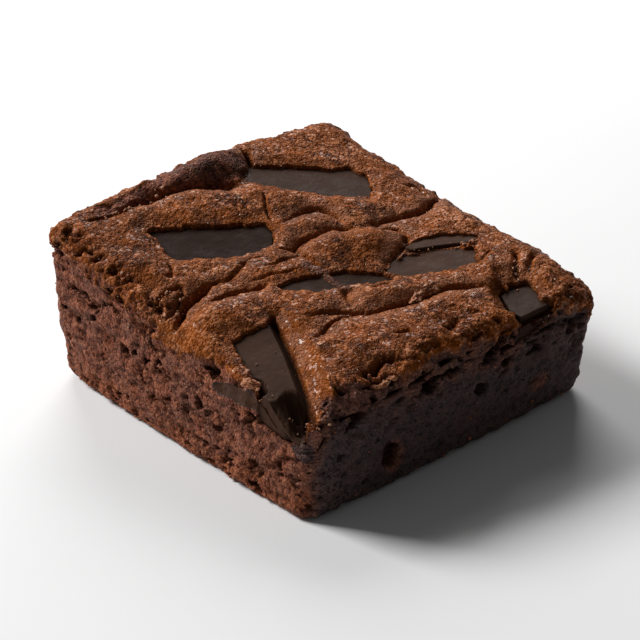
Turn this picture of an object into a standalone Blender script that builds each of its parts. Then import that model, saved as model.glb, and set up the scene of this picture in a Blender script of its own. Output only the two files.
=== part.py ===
"""A chocolate brownie: one baked square with slabs of dark chocolate sunk into its top.

Metres, +Z up. The square stands on its flat base, with the middle of its outline over the
origin. The left corner is at -X -Y, the front corner at +X -Y, the right corner at +X +Y and
the back corner at -X +Y. The sizes below are in millimetres, which is how a baker would give
them, and MM turns them into metres.
"""
import math

import bmesh
import bpy
from mathutils import Vector, noise

MM = 0.001

# The cake: its four corners at the base and at the top, in the order left, front, right, back.
BASE_CORNERS = ((-32.8, -32.8), (33.2, -33.0), (32.8, 32.8), (-32.8, 33.0))
TOP_CORNERS = ((-35.3, -35.3), (33.6, -31.6), (35.3, 35.3), (-33.6, 32.6))
HALF_SIDE = 32.5
# Height of the top at three stations across (-X, middle, +X) in rows from -Y to +Y.
TOP_HEIGHTS = ((31.0, 24.0, 19.6), (33.0, 27.8, 23.4), (30.2, 25.4, 24.2))
CORNER_RADIUS = 3.2
EDGE_ROLL_WIDTH = 4.5
EDGE_ROLL_DROP = 2.2
FOOT_RADIUS = 1.5
SIDE_SWELL = 0.5
SIDE_BOW = 0.7
LUMP_SIZE = 7.0
LUMP_HEIGHT = 0.45
# Power of the lean from the base's outline to the top's: under 1, most of it is near the foot.
LEAN_POWER = 0.6

# Mesh density: steps across the top and steps up a side, and the share of those steps that
# bunches towards the foot and the rim.
STEPS_ACROSS = 40
STEPS_UP = 9
STEP_BUNCHING = 0.5
# Edges sharper than this many degrees stay crisp.
SHARP_ANGLE = 50.0

# Swellings of the crust, and one droop: name, middle, half length, half width, turn in degrees
# and height.
LOBES = (
    ("rim_roll", (-30.0, -2.0), 11.0, 3.4, 82.0, 2.2),
    ("front_lobe", (25.0, -13.0), 12.0, 5.0, 60.0, 1.4),
    ("front_edge_lobe", (29.0, -23.0), 6.0, 4.0, 20.0, 1.8),
    ("middle_lobe", (3.0, 7.0), 10.0, 4.5, 62.0, 1.3),
    ("small_lobe", (-6.0, 3.0), 6.0, 3.0, 70.0, 1.0),
    ("long_ridge", (19.0, 9.0), 13.0, 2.4, 66.0, 1.2),
    ("ridge_before_back_slab", (-15.0, 4.0), 11.0, 2.6, 50.0, 0.9),
    ("right_lobe", (22.0, 27.0), 6.0, 5.0, 20.0, 1.0),
    ("left_lobe", (-11.0, -27.0), 8.0, 4.0, 10.0, 0.8),
    ("crack_side_lobe", (1.5, -27.0), 5.0, 4.0, 80.0, 0.9),
    ("right_corner_droop", (36.0, 36.0), 8.0, 8.0, 0.0, -3.2),
)

# Creases between the swellings: name, depth, half width, and the route across the top.
CREASES = (
    ("rim_crack", 3.4, 1.3, (
        (-31.6, -30.0), (-30.2, -24.0), (-29.6, -15.0), (-28.2, -9.0), (-24.4, 1.0))),
    ("rim_end", 2.4, 1.0, ((-24.4, 1.0), (-27.8, 6.8), (-31.5, 9.2))),
    ("deep_crack", 4.2, 1.4, (
        (-5.0, -9.0), (-5.2, -14.0), (-4.6, -20.0), (-5.0, -25.0), (-3.6, -30.5))),
    ("centre_crease", 1.4, 1.2, ((0.5, -13.0), (-0.8, -19.0), (-1.4, -25.0))),
    ("small_lobe_edge", 1.3, 1.1, ((-5.9, -7.0), (-3.9, -2.0), (-3.0, 5.0), (-1.6, 10.0))),
    ("middle_lobe_end", 1.8, 1.2, ((3.0, 16.5), (5.6, 16.0), (7.2, 11.0), (9.0, 6.0))),
    ("back_notch", 2.4, 1.6, ((-5.0, 32.5), (-1.6, 28.0), (-0.8, 21.0), (-1.4, 13.0))),
    ("long_fold", 2.0, 1.3, (
        (12.8, -14.0), (14.8, -8.0), (18.6, -3.5), (21.0, 5.0), (24.0, 14.5), (26.4, 17.0))),
    ("lower_fold", 1.3, 1.1, ((18.0, -17.5), (16.5, -12.5), (16.4, -9.0))),
    ("under_slab_valley", 1.1, 1.6, ((10.0, -4.4), (13.0, -5.3), (15.4, -6.2))),
    ("right_crack", 1.8, 1.2, ((19.8, 30.0), (23.6, 26.2), (26.6, 23.6))),
)

# Slabs of chocolate: name, depth under the risen top, thickness, how far the walls spread
# towards the bottom, and outline.
SLABS = (
    ("chunk_back", 0.9, 5.0, 0.4, (
        (-26.7, 6.4), (-22.4, 14.8), (-17.8, 23.0), (-14.6, 24.2), (-11.2, 22.5), (-8.4, 19.5),
        (-12.3, 13.1), (-17.4, 7.8), (-23.4, 1.9))),
    ("chunk_left", 1.5, 5.0, 0.4, (
        (-23.9, -20.6), (-20.8, -15.8), (-15.4, -7.3), (-12.3, -2.6), (-9.9, -2.8), (-7.3, -5.4),
        (-7.0, -9.4), (-9.5, -14.7), (-12.6, -19.3), (-14.5, -22.3))),
    ("chunk_centre", 0.9, 4.5, 0.2, (
        (2.9, -13.0), (2.7, -10.4), (4.4, -5.4), (6.5, -0.6), (9.2, 2.6), (11.2, 4.5), (13.3, 5.4),
        (13.8, 4.8), (12.6, 2.4), (10.8, -1.0), (9.6, -4.6), (7.8, -8.6), (5.2, -11.8))),
    ("chunk_right", 0.7, 5.0, 0.1, (
        (11.1, 5.8), (9.3, 8.7), (9.3, 11.6), (11.2, 18.2), (12.6, 21.8), (14.4, 23.9),
        (16.2, 23.6), (18.3, 21.0), (17.1, 14.3), (15.2, 8.8), (14.4, 6.6))),
    ("chunk_right_chip", 0.2, 4.0, 0.0, (
        (7.9, 13.4), (7.4, 17.8), (7.6, 20.6), (8.9, 23.5), (10.4, 26.2), (12.2, 27.6),
        (12.3, 25.4), (11.3, 22.2), (10.2, 18.6), (9.0, 13.8))),
    ("chunk_front", 1.0, 5.0, 1.0, (
        (7.8, -27.4), (8.2, -18.3), (17.0, -22.0), (25.2, -26.2), (31.4, -29.4), (31.6, -32.1),
        (21.0, -32.1), (16.6, -30.8))),
    ("chunk_edge", 2.1, 5.0, 0.3, (
        (27.0, 19.0), (26.0, 21.7), (26.9, 25.0), (29.2, 24.8), (33.9, 23.4), (33.9, 16.9),
        (31.4, 16.9))),
)
# A slab that the knife cut ends flush with a side of the cake, where its pocket is open: the way
# out of the cake there, and how far along it the cut lies. Outline points this close to the cut
# belong to it.
KNIFE_CUTS = {"chunk_front": ((0.0, -1.0), 32.1), "chunk_edge": ((1.0, 0.0), 33.9)}
CUT_MARGIN = 0.6
POCKET_REACH = 8.0
SLAB_EDGE_RADIUS = 0.5
SLAB_EDGE_SEGMENTS = 2
SLAB_CLEARANCE = 0.3
POCKET_HEADROOM = 14.0
SLOPE_STEP = 1.0

# The block that becomes the cake runs from -1 to 1 each way.
BLOCK_SIZE = 2.0
BLOCK_TOLERANCE = 1e-6

# Colours are linear RGB, then roughness.
CAKE_FINISH = ((0.095, 0.036, 0.016), 0.75)
CHOCOLATE_FINISH = ((0.045, 0.027, 0.021), 0.45)


def clear_scene():
    """Remove whatever objects the file holds."""
    for thing in list(bpy.data.objects):
        bpy.data.objects.remove(thing, do_unlink=True)


def new_collection(name):
    """A collection linked to the scene."""
    collection = bpy.data.collections.new(name)
    bpy.context.scene.collection.children.link(collection)
    return collection


def new_material(name, finish):
    """A plain Principled material of one colour."""
    colour, roughness = finish
    material = bpy.data.materials.new(name)
    material.use_nodes = True
    shader = material.node_tree.nodes["Principled BSDF"]
    shader.inputs["Base Color"].default_value = (*colour, 1.0)
    shader.inputs["Roughness"].default_value = roughness
    shader.inputs["Metallic"].default_value = 0.0
    return material


def new_object(name, bm, collection, material=None):
    """Turn a bmesh into a smooth-shaded object."""
    mesh = bpy.data.meshes.new(name)
    bm.to_mesh(mesh)
    bm.free()
    thing = bpy.data.objects.new(name, mesh)
    collection.objects.link(thing)
    if material is not None:
        mesh.materials.append(material)
    mesh.shade_smooth()
    mesh.set_sharp_from_angle(angle=math.radians(SHARP_ANGLE))
    return thing


def three_point_weights(t):
    """Weights of a smooth curve through stations at -1, 0 and 1."""
    return 0.5 * t * (t - 1.0), 1.0 - t * t, 0.5 * t * (t + 1.0)


def crown_height(x, y):
    """Height of the risen top before its folds."""
    across = three_point_weights(x / HALF_SIDE)
    along = three_point_weights(y / HALF_SIDE)
    return sum(
        row_weight * sum(weight * height for weight, height in zip(across, row))
        for row_weight, row in zip(along, TOP_HEIGHTS)
    )


def route_distance(x, y, route):
    """Distance from a point to a route of straight steps."""
    point = Vector((x, y))
    best = math.inf
    for start, end in zip(route, route[1:]):
        start = Vector(start)
        step = Vector(end) - start
        along = (point - start).dot(step) / step.length_squared
        along = min(1.0, max(0.0, along))
        best = min(best, (point - start - along * step).length)
    return best


def fold_height(x, y):
    """What the swellings add to the top and the creases take from it."""
    height = 0.0
    for _name, middle, half_length, half_width, turn, rise in LOBES:
        angle = math.radians(turn)
        dx = x - middle[0]
        dy = y - middle[1]
        along = (dx * math.cos(angle) + dy * math.sin(angle)) / half_length
        across = (dy * math.cos(angle) - dx * math.sin(angle)) / half_width
        height += rise * math.exp(-along * along - across * across)
    for _name, depth, half_width, route in CREASES:
        height -= depth * math.exp(-((route_distance(x, y, route) / half_width) ** 2))
    return height


def quarter_round(distance, radius):
    """How far a quarter circle falls back at a distance from its edge, as a part of 1."""
    if distance >= radius:
        return 0.0
    return 1.0 - math.sqrt(1.0 - (1.0 - distance / radius) ** 2)


def between_corners(u, v, corners):
    """Point of a four-cornered outline at u, v from -1 to 1."""
    left, front, right, back = (Vector(corner) for corner in corners)
    near = left.lerp(front, (u + 1.0) / 2.0)
    far = back.lerp(right, (u + 1.0) / 2.0)
    return near.lerp(far, (v + 1.0) / 2.0)


def round_corner(u, v):
    """Pull the corners of the unit square in to a quarter circle."""
    inner = 1.0 - CORNER_RADIUS / HALF_SIDE
    du = u - max(-inner, min(inner, u))
    dv = v - max(-inner, min(inner, v))
    reach = math.hypot(du, dv)
    if reach == 0.0:
        return u, v
    scale = max(abs(du), abs(dv)) / reach
    return u - du + du * scale, v - dv + dv * scale


def cake_point(u, v, w):
    """Place of a point of the cake: u and v across it from -1 to 1, w up it from 0 to 1."""
    edge = (1.0 - max(abs(u), abs(v))) * HALF_SIDE
    ru, rv = round_corner(u, v)
    top = between_corners(ru, rv, TOP_CORNERS)
    height = crown_height(top.x, top.y) + fold_height(top.x, top.y)
    height += LUMP_HEIGHT * noise.noise(Vector((top.x, top.y, 0.0)) / LUMP_SIZE)
    height -= EDGE_ROLL_DROP * quarter_round(edge, EDGE_ROLL_WIDTH)
    bunched = w * w * (3.0 - 2.0 * w)
    z = height * (w + STEP_BUNCHING * (bunched - w))
    base = between_corners(ru, rv, BASE_CORNERS)
    plan = base.lerp(top, w ** LEAN_POWER)
    if edge < BLOCK_TOLERANCE:
        foot = FOOT_RADIUS * quarter_round(z, FOOT_RADIUS)
        swell = SIDE_SWELL + LUMP_HEIGHT * noise.noise(Vector((plan.x, plan.y, z)) / LUMP_SIZE)
        bow = SIDE_BOW * (1.0 - min(abs(u), abs(v)) ** 2) * (1.0 - w)
        outward = Vector((u * (abs(u) >= abs(v)), v * (abs(v) >= abs(u)))).normalized()
        plan += outward * (swell * math.sin(math.pi * w) + bow - foot)
    return Vector((plan.x, plan.y, z)) * MM


def is_upright(edge):
    """Whether an edge of the block joins its underside to its top."""
    low, high = edge.verts
    return abs(high.co.z - low.co.z) > BLOCK_SIZE - BLOCK_TOLERANCE


def build_cake(collection, material):
    """The baked square: a gridded block whose points move to the cake's own shape."""
    bm = bmesh.new()
    bmesh.ops.create_cube(bm, size=BLOCK_SIZE)
    level = [edge for edge in bm.edges if not is_upright(edge)]
    bmesh.ops.subdivide_edges(bm, edges=level, cuts=STEPS_ACROSS - 1, use_grid_fill=True)
    upright = [edge for edge in bm.edges if is_upright(edge)]
    bmesh.ops.subdivide_edges(bm, edges=upright, cuts=STEPS_UP - 1, use_grid_fill=True)
    lowest = min(vert.co.z for vert in bm.verts) + BLOCK_TOLERANCE
    under = [face for face in bm.faces if all(vert.co.z < lowest for vert in face.verts)]
    bmesh.ops.dissolve_faces(bm, faces=under, use_verts=True)
    for vert in bm.verts:
        vert.co = cake_point(vert.co.x, vert.co.y, (vert.co.z + 1.0) / 2.0)
    bmesh.ops.recalc_face_normals(bm, faces=bm.faces)
    return new_object("brownie_body", bm, collection, material)


def grown_outline(outline, distance):
    """The outline with every side moved outwards by a distance."""
    count = len(outline)
    points = [Vector(point) for point in outline]
    area = sum(points[i - 1].cross(points[i]) for i in range(count))
    turn = 1.0 if area > 0.0 else -1.0
    grown = []
    for i, point in enumerate(points):
        before = (point - points[i - 1]).normalized()
        after = (points[(i + 1) % count] - point).normalized()
        before_out = Vector((before.y, -before.x)) * turn
        after_out = Vector((after.y, -after.x)) * turn
        middle = (before_out + after_out).normalized()
        grown.append(point + middle * (distance / middle.dot(before_out)))
    return grown


def moved_at_cut(name, outline, moved, reach):
    """The moved outline, with its points on the knife's cut put a reach beyond the cut."""
    if name not in KNIFE_CUTS:
        return moved
    way_out, cut = KNIFE_CUTS[name]
    way_out = Vector(way_out)
    return [
        place + way_out * (cut + reach - place.dot(way_out))
        if Vector(point).dot(way_out) > cut - CUT_MARGIN else place
        for point, place in zip(outline, moved)
    ]


def slab_plane(outline, sink):
    """Height of a slab's flat top: level with the crown at its middle, less how far it sank."""
    middle = sum((Vector(point) for point in outline), Vector((0.0, 0.0))) / len(outline)
    crown = crown_height(middle.x, middle.y)
    slope_x = (crown_height(middle.x + SLOPE_STEP, middle.y) - crown) / SLOPE_STEP
    slope_y = (crown_height(middle.x, middle.y + SLOPE_STEP) - crown) / SLOPE_STEP

    def height(point):
        return crown - sink + slope_x * (point.x - middle.x) + slope_y * (point.y - middle.y)

    return height


def prism(top_outline, bottom_outline, height, lift, thickness):
    """A bmesh block between a top outline and a bottom outline under it."""
    bm = bmesh.new()
    verts = [
        bm.verts.new(Vector((point.x, point.y, height(point) + lift)) * MM) for point in top_outline
    ]
    outline_face = bm.faces.new(verts)
    made = bmesh.ops.extrude_face_region(bm, geom=[outline_face])
    bmesh.ops.delete(bm, geom=[outline_face], context="FACES_ONLY")
    lid = next(item for item in made["geom"] if isinstance(item, bmesh.types.BMFace))
    for vert, point in zip(verts, bottom_outline):
        vert.co = Vector((point.x, point.y, height(point) - thickness)) * MM
    bmesh.ops.contextual_create(bm, geom=verts)
    bmesh.ops.recalc_face_normals(bm, faces=bm.faces)
    return bm, lid


def build_slab(spec, collection, material):
    """One slab of chocolate, with walls that lean out and softened edges."""
    name, sink, thickness, slant, outline = spec
    height = slab_plane(outline, sink)
    top = [Vector(point) for point in outline]
    bottom = moved_at_cut(name, outline, grown_outline(outline, slant), 0.0)
    bm, lid = prism(top, bottom, height, 0.0, thickness)
    bmesh.ops.bevel(
        bm, geom=list(lid.edges), offset=SLAB_EDGE_RADIUS * MM, offset_type="OFFSET",
        segments=SLAB_EDGE_SEGMENTS, profile=0.5, affect="EDGES", material=-1)
    return new_object(name, bm, collection, material)


def build_pocket(spec, collection):
    """The room that a slab takes out of the cake, open upwards and at a cut side."""
    name, sink, thickness, slant, outline = spec
    height = slab_plane(outline, sink)
    walls = moved_at_cut(name, outline, grown_outline(outline, slant + SLAB_CLEARANCE), POCKET_REACH)
    bm, _lid = prism(walls, walls, height, POCKET_HEADROOM, thickness + SLAB_CLEARANCE)
    pocket = new_object(name + "_pocket", bm, collection)
    pocket.hide_render = True
    pocket.display_type = "WIRE"
    return pocket


def main():
    clear_scene()
    parts = new_collection("chocolate_brownie")
    cutters = new_collection("slab_pockets")
    cake = build_cake(parts, new_material("baked_cake", CAKE_FINISH))
    for spec in SLABS:
        build_slab(spec, parts, new_material(spec[0] + "_chocolate", CHOCOLATE_FINISH))
        cut = cake.modifiers.new(spec[0] + "_pocket", "BOOLEAN")
        cut.operation = "DIFFERENCE"
        cut.solver = "EXACT"
        cut.object = build_pocket(spec, cutters)


main()
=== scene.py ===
"""Looks of a square chocolate brownie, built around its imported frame.

The cake is six closed wedges of one fine surface: the crust on top, four sides of crumb and the
base. Slabs of dark chocolate lie in the crust, and crumbs and sugar grains lie on it. Shape code
works in millimetres and MM turns its results into metres.
"""
import itertools
import math

import bmesh
import bpy
import numpy as np
from mathutils import Matrix, Vector


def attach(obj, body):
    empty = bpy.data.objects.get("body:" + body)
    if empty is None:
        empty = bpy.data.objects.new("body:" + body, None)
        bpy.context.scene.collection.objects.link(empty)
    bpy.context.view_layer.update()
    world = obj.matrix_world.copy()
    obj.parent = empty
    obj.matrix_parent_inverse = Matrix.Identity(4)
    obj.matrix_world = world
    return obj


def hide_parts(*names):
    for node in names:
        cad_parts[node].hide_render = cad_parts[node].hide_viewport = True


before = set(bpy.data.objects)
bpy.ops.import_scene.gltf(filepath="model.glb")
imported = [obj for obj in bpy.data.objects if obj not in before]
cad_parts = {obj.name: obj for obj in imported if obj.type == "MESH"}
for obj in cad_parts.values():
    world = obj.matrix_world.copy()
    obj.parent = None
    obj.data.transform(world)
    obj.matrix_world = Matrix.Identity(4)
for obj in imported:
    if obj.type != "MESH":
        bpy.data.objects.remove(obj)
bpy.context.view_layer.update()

bl_info = {
    "name": "Chocolate Brownie",
    "version": (1, 0, 0),
    "blender": (4, 5, 0),
    "location": "View3D > Sidebar > Brownie",
    "description": "Builds the crust, crumb, chocolate slabs and crumbs of a brownie",
    "category": "Object",
}

MM = 0.001

# The cake's outline at its base and its top, left, front, right and back corner, as in the CAD.
BASE_CORNERS = ((-32.8, -32.8), (33.2, -33.0), (32.8, 32.8), (-32.8, 33.0))
TOP_CORNERS = ((-35.3, -35.3), (33.6, -31.6), (35.3, 35.3), (-33.6, 32.6))
HALF_SIDE = 32.5
TOP_HEIGHTS = ((31.0, 24.0, 19.6), (33.0, 27.8, 23.4), (30.2, 25.4, 24.2))
CORNER_RADIUS = 3.2
EDGE_ROLL_WIDTH = 4.5
EDGE_ROLL_DROP = 2.2
FOOT_RADIUS = 1.5
SIDE_SWELL = 0.5
SIDE_BOW = 0.7
LEAN_POWER = 0.6
STEP_BUNCHING = 0.5

# Mesh density: cells along an edge of the cake, cells up a side, cells along the base.
CELLS_ACROSS = 310
CELLS_UP = 140
CELLS_BASE = 155
# The wedges meet at a box inside the cake: half its side, its lowest and highest level.
HEART_HALF = 15.0
HEART_LOW = 8.0
HEART_HIGH = 14.0

# Swellings of the crust: middle, half length, half width, turn in degrees, height.
LOBES = (
    ((-30.0, -1.0), 10.0, 3.4, 82.0, 1.9),
    ((25.0, -13.0), 12.0, 5.0, 60.0, 1.4),
    ((29.0, -23.0), 6.0, 4.0, 20.0, 1.8),
    ((3.0, 7.0), 10.0, 4.5, 62.0, 1.5),
    ((-6.0, 3.0), 6.0, 3.0, 70.0, 1.2),
    ((19.4, 8.0), 13.0, 2.2, 66.0, 0.9),
    ((-15.0, 4.0), 11.0, 2.6, 50.0, 0.9),
    ((22.0, 27.0), 6.0, 5.0, 20.0, 1.0),
    ((-11.0, -27.0), 8.0, 4.0, 10.0, 0.8),
    ((1.5, -27.0), 5.0, 4.0, 80.0, 0.9),
    ((36.0, 36.0), 8.0, 8.0, 0.0, -3.2),
    ((5.5, 29.0), 6.0, 2.6, 8.0, 0.9),
    ((13.5, -19.5), 5.0, 2.2, -38.0, 0.5),
)

# Creases: depth and half width of the groove, depth of the rounded fall towards it, and the
# route across the top.
CREASES = {
    "rim_crack": (2.6, 0.6, 0.9, (
        (-30.1, -21.5), (-29.7, -16.5), (-29.2, -13.1), (-28.3, -9.2), (-26.3, -4.9),
        (-24.7, -0.9), (-23.8, 2.2), (-22.9, 4.0))),
    "rim_line": (0.7, 0.28, 0.25, (
        (-31.5, -29.9), (-30.2, -25.2), (-29.9, -18.5), (-29.2, -13.1))),
    "rim_gap": (2.6, 0.6, 0.6, ((-31.3, 8.6), (-27.8, 7.1), (-23.8, 2.2))),
    "deep_crack": (0.6, 0.3, 0.4, (
        (-4.3, -6.5), (-5.3, -9.4), (-5.8, -11.4), (-5.2, -13.8), (-4.3, -17.5), (-4.9, -20.2),
        (-4.9, -22.4), (-5.0, -24.6), (-4.7, -27.0), (-4.1, -29.5), (-2.3, -31.9))),
    "deep_crack_mouth": (3.6, 0.55, 0.5, (
        (-4.6, -22.4), (-4.4, -24.6), (-4.2, -27.0), (-3.3, -29.6), (-1.9, -32.0))),
    "second_crease": (1.0, 0.4, 0.6, (
        (1.3, -12.2), (1.0, -15.3), (-0.1, -17.7), (-1.0, -20.2), (-1.2, -22.2), (-1.4, -25.4))),
    "first_streak": (0.5, 0.3, 0.15, ((1.8, -6.7), (0.9, -9.6), (-0.7, -12.7), (-1.5, -16.4))),
    "second_streak": (0.5, 0.3, 0.15, (
        (1.7, -2.7), (-1.2, -3.8), (-1.7, -6.4), (-2.0, -9.4), (-2.5, -12.3))),
    "small_lobe_low": (1.0, 0.36, 0.9, (
        (-5.9, -7.0), (-3.7, -4.0), (-4.0, -1.4), (-3.5, 1.9), (-2.9, 5.0), (-1.8, 8.0),
        (-1.6, 10.1))),
    "small_lobe_high": (0.8, 0.45, 0.7, (
        (-10.1, -1.9), (-9.9, -0.9), (-10.4, 4.4), (-9.6, 8.0), (-5.9, 8.8), (-2.6, 8.3))),
    "middle_lobe_left": (0.8, 0.4, 0.4, ((-3.7, -4.0), (-1.8, -3.3), (1.2, -3.5), (3.5, -3.2))),
    "middle_lobe_end": (1.0, 0.5, 1.0, ((-0.2, 12.5), (2.6, 16.3), (5.2, 16.4))),
    "middle_lobe_right": (1.1, 0.5, 1.0, ((5.2, 16.4), (7.5, 12.8), (9.3, 8.7), (10.7, 5.4))),
    "notch": (1.6, 0.6, 0.9, (
        (-3.6, 33.5), (-2.4, 29.9), (-1.0, 27.3), (-0.6, 21.5), (-1.5, 15.4), (-1.3, 11.8))),
    "notch_side": (1.0, 0.45, 0.4, ((-4.4, 29.9), (-7.3, 30.8), (-8.7, 28.2))),
    "crack_by_lobes": (0.9, 0.3, 0.2, ((-17.7, 2.1), (-13.5, -1.1), (-10.4, -1.7))),
    "under_slabs": (0.7, 0.3, 0.2, ((13.7, -0.4), (13.8, 1.8), (14.4, 3.7))),
    "valley": (0.5, 0.5, 0.8, ((9.9, -3.7), (13.0, -5.3), (15.2, -6.1))),
    "long_fold": (1.3, 0.34, 0.85, (
        (12.8, -14.3), (13.4, -11.6), (13.9, -9.6), (14.9, -8.0), (16.9, -5.8), (18.4, -4.2),
        (19.4, -1.3), (19.8, 1.3), (21.0, 5.3), (21.4, 9.0), (22.2, 11.5), (24.1, 14.9),
        (25.6, 17.3), (27.0, 17.3))),
    "third_fold": (0.9, 0.3, 0.5, (
        (18.0, -17.9), (17.6, -16.5), (16.5, -12.7), (16.1, -10.8), (16.3, -8.3), (18.0, -6.9))),
    "right_crack": (1.5, 0.5, 0.6, ((19.8, 29.1), (22.4, 27.0), (24.3, 25.1), (27.0, 22.7))),
    "right_crack_two": (1.1, 0.45, 0.3, ((22.7, 31.0), (24.2, 28.8), (26.7, 26.5))),
    "right_short": (0.9, 0.35, 0.2, ((18.6, 21.7), (17.8, 24.4), (17.6, 25.6))),
    "front_short": (0.9, 0.35, 0.1, ((26.2, -6.5), (26.5, -4.8), (26.9, -3.4))),
    "left_short": (0.9, 0.35, 0.1, ((-13.2, -24.1), (-10.5, -25.9), (-11.0, -27.1))),
    "flap": (0.9, 0.3, 0.2, (
        (-7.4, -33.5), (-8.3, -29.4), (-7.1, -26.1), (-4.9, -29.4), (-4.4, -33.7))),
    "edge_flap": (1.8, 0.6, 0.4, ((31.0, -16.2), (29.9, -14.0), (29.7, -12.0), (31.2, -10.2))),
}
SHOULDER_WIDTH = 2.1

# Patches where the crust is made darker or, below 0, lighter with a painted sheen: middle, half sizes, turn,
# amount.
DARK_PATCHES_AND_SHEEN = (
    ((-18.7, -28.0), (10.0, 5.0), 5.0, 0.3),
    ((27.0, -18.5), (7.0, 4.5), 60.0, 0.35),
    ((28.5, 1.5), (9.0, 4.0), 78.0, 0.45),
    ((2.0, 2.5), (7.0, 4.5), 65.0, 0.3),
    ((-9.0, 3.0), (5.0, 2.5), 70.0, 0.25),
    ((3.5, -30.0), (6.0, 4.0), 0.0, -0.6),
    ((4.0, -21.5), (4.0, 3.0), 0.0, -0.4),
    ((6.5, 28.5), (7.0, 4.0), 5.0, -0.6),
    ((25.5, 29.5), (6.0, 4.5), 30.0, -0.4),
    ((-25.0, 24.0), (9.0, 6.0), 0.0, -0.3),
    ((-29.5, -1.0), (9.5, 4.0), 75.0, 0.65),
    ((-27.0, -26.0), (8.0, 6.0), 0.0, 0.2),
)

# Slabs: depth under the crust, thickness, spread of the walls, and outline, as in the CAD.
SLABS = {
    "chunk_back": (0.9, 5.0, 0.4, (
        (-26.7, 6.4), (-22.4, 14.8), (-17.8, 23.0), (-14.6, 24.2), (-11.2, 22.5), (-8.4, 19.5),
        (-12.3, 13.1), (-17.4, 7.8), (-23.4, 1.9))),
    "chunk_left": (1.5, 5.0, 0.4, (
        (-23.9, -20.6), (-20.8, -15.8), (-15.4, -7.3), (-12.3, -2.6), (-9.9, -2.8), (-7.3, -5.4),
        (-7.0, -9.4), (-9.5, -14.7), (-12.6, -19.3), (-14.5, -22.3))),
    "chunk_centre": (0.9, 4.5, 0.2, (
        (2.9, -13.0), (2.7, -10.4), (4.4, -5.4), (6.5, -0.6), (9.2, 2.6), (11.2, 4.5), (13.3, 5.4),
        (13.8, 4.8), (12.6, 2.4), (10.8, -1.0), (9.6, -4.6), (7.8, -8.6), (5.2, -11.8))),
    "chunk_right": (0.7, 5.0, 0.1, (
        (11.1, 5.8), (9.3, 8.7), (9.3, 11.6), (11.2, 18.2), (12.6, 21.8), (14.4, 23.9),
        (16.2, 23.6), (18.3, 21.0), (17.1, 14.3), (15.2, 8.8), (14.4, 6.6))),
    "chunk_right_chip": (0.2, 4.0, 0.0, (
        (7.9, 13.4), (7.4, 17.8), (7.6, 20.6), (8.9, 23.5), (10.4, 26.2), (12.2, 27.6),
        (12.3, 25.4), (11.3, 22.2), (10.2, 18.6), (9.0, 13.8))),
    "chunk_front": (1.0, 6.0, 1.0, (
        (7.8, -27.4), (8.2, -18.3), (17.0, -22.0), (25.2, -26.2), (31.4, -29.4), (30.4, -31.8),
        (28.0, -32.1), (21.0, -32.1), (16.6, -30.8))),
    "chunk_edge": (2.1, 5.0, 0.3, (
        (27.0, 19.0), (26.0, 21.7), (26.9, 25.0), (29.2, 24.8), (33.9, 23.4), (33.9, 16.9),
        (31.4, 16.9))),
}
# How far the crust laps over a slab's rim; below 0 it stays clear of it by as much.
LAP = 0.05
LAP_NOISE = 0.6
CLEAR_PLACES = (
    ("chunk_front", (20.5, -23.0), (13.5, 3.4), -25.5, -0.5),
    ("chunk_front", (27.0, -32.6), (7.6, 2.0), 0.0, -1.5),
    ("chunk_edge", (28.6, 17.6), (4.6, 1.8), -32.0, -0.7),
    ("chunk_edge", (34.6, 20.0), (2.2, 5.0), 0.0, -1.5),
    ("chunk_right", (10.9, 18.0), (5.6, 2.0), 72.0, -0.1),
    ("chunk_right_chip", (10.2, 19.4), (7.4, 1.8), 72.0, -0.1),
)
# Where the knife cut through a slab: side, stretch along it, how far the crumb stays behind,
# and how far down at its start and its end.
KNIFE_CUTS = {
    "chunk_front": ("front", (20.4, 30.2), 3.0, (5.0, 3.0)),
    "chunk_edge": ("right", (16.2, 24.0), 0.8, (3.2, 2.6)),
}
# How strong the ring of glossy skin round each slab is; it is also painted with a lighter sheen.
GLOSS_AND_SHEEN_RING = {"chunk_front": 1.0, "chunk_edge": 0.6}
LIP_RISE = 0.25
CLEAR_LIP_DROP = 0.7
LIP_SLOPE = 0.42
SINK_BELOW = 1.3
WALL_SLOPE = 7.0
# Where the crust tore open along the left rim and shows crumb, made darker by the smear and darker-patch masks:
# middle, half sizes, turn.
# The first is rolled smooth and the second is crumbly.
RIM_TEARS = (((-29.6, -2.4), (10.5, 3.6), 72.0), ((-31.4, -18.5), (8.5, 1.5), 86.0))
# Chocolate dragged over the crumb: side, middle along and up it, half sizes, and how thick it
# is: 1 darkens the crumb, and 2 hides it under smooth chocolate.
SMEARS = (
    ("front", (15.2, 17.9), (6.2, 1.5), 2.0),
    ("front", (31.0, 15.5), (3.0, 3.0), 0.9),
    ("right", (20.6, 14.6), (4.4, 3.0), 1.3),
)
# A film of crust that crosses the middle of one slab: slab, half width, route.
FILM = ("chunk_centre", 1.0, ((1.4, -5.2), (4.4, -3.9), (7.4, -3.6), (10.4, -3.4)))

# Where the crust ends down each side: distance along the side, height.
CRUST_EDGE = {
    "front": ((-34, 27.2), (-28, 26.8), (-22, 26.3), (-17, 24.8), (-11.5, 23.2), (-6, 21.8),
              (-3, 20.2), (0, 19.6), (6, 21.1), (10, 22.2), (13.5, 20.4), (21, 19.5), (25, 18.3),
              (33, 18.0)),
    "right": ((-33, 18.5), (-30, 19.0), (-27, 22.9), (-24.5, 23.9), (-17.6, 23.6), (-10, 21.3),
              (-1.5, 23.3), (2, 22.3), (8, 21.3), (13, 20.6), (16, 20.6), (21, 18.5), (25, 21.0),
              (29, 20.0), (34, 17.0)),
    "back": ((-34, 26.0), (-20, 24.5), (-8, 21.5), (4, 20.0), (18, 20.5), (28, 18.5), (34, 15.7)),
    "left": ((-34, 25.4), (-20, 27.0), (-4, 28.5), (10, 26.0), (24, 25.0), (34, 26.0)),
}

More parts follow.
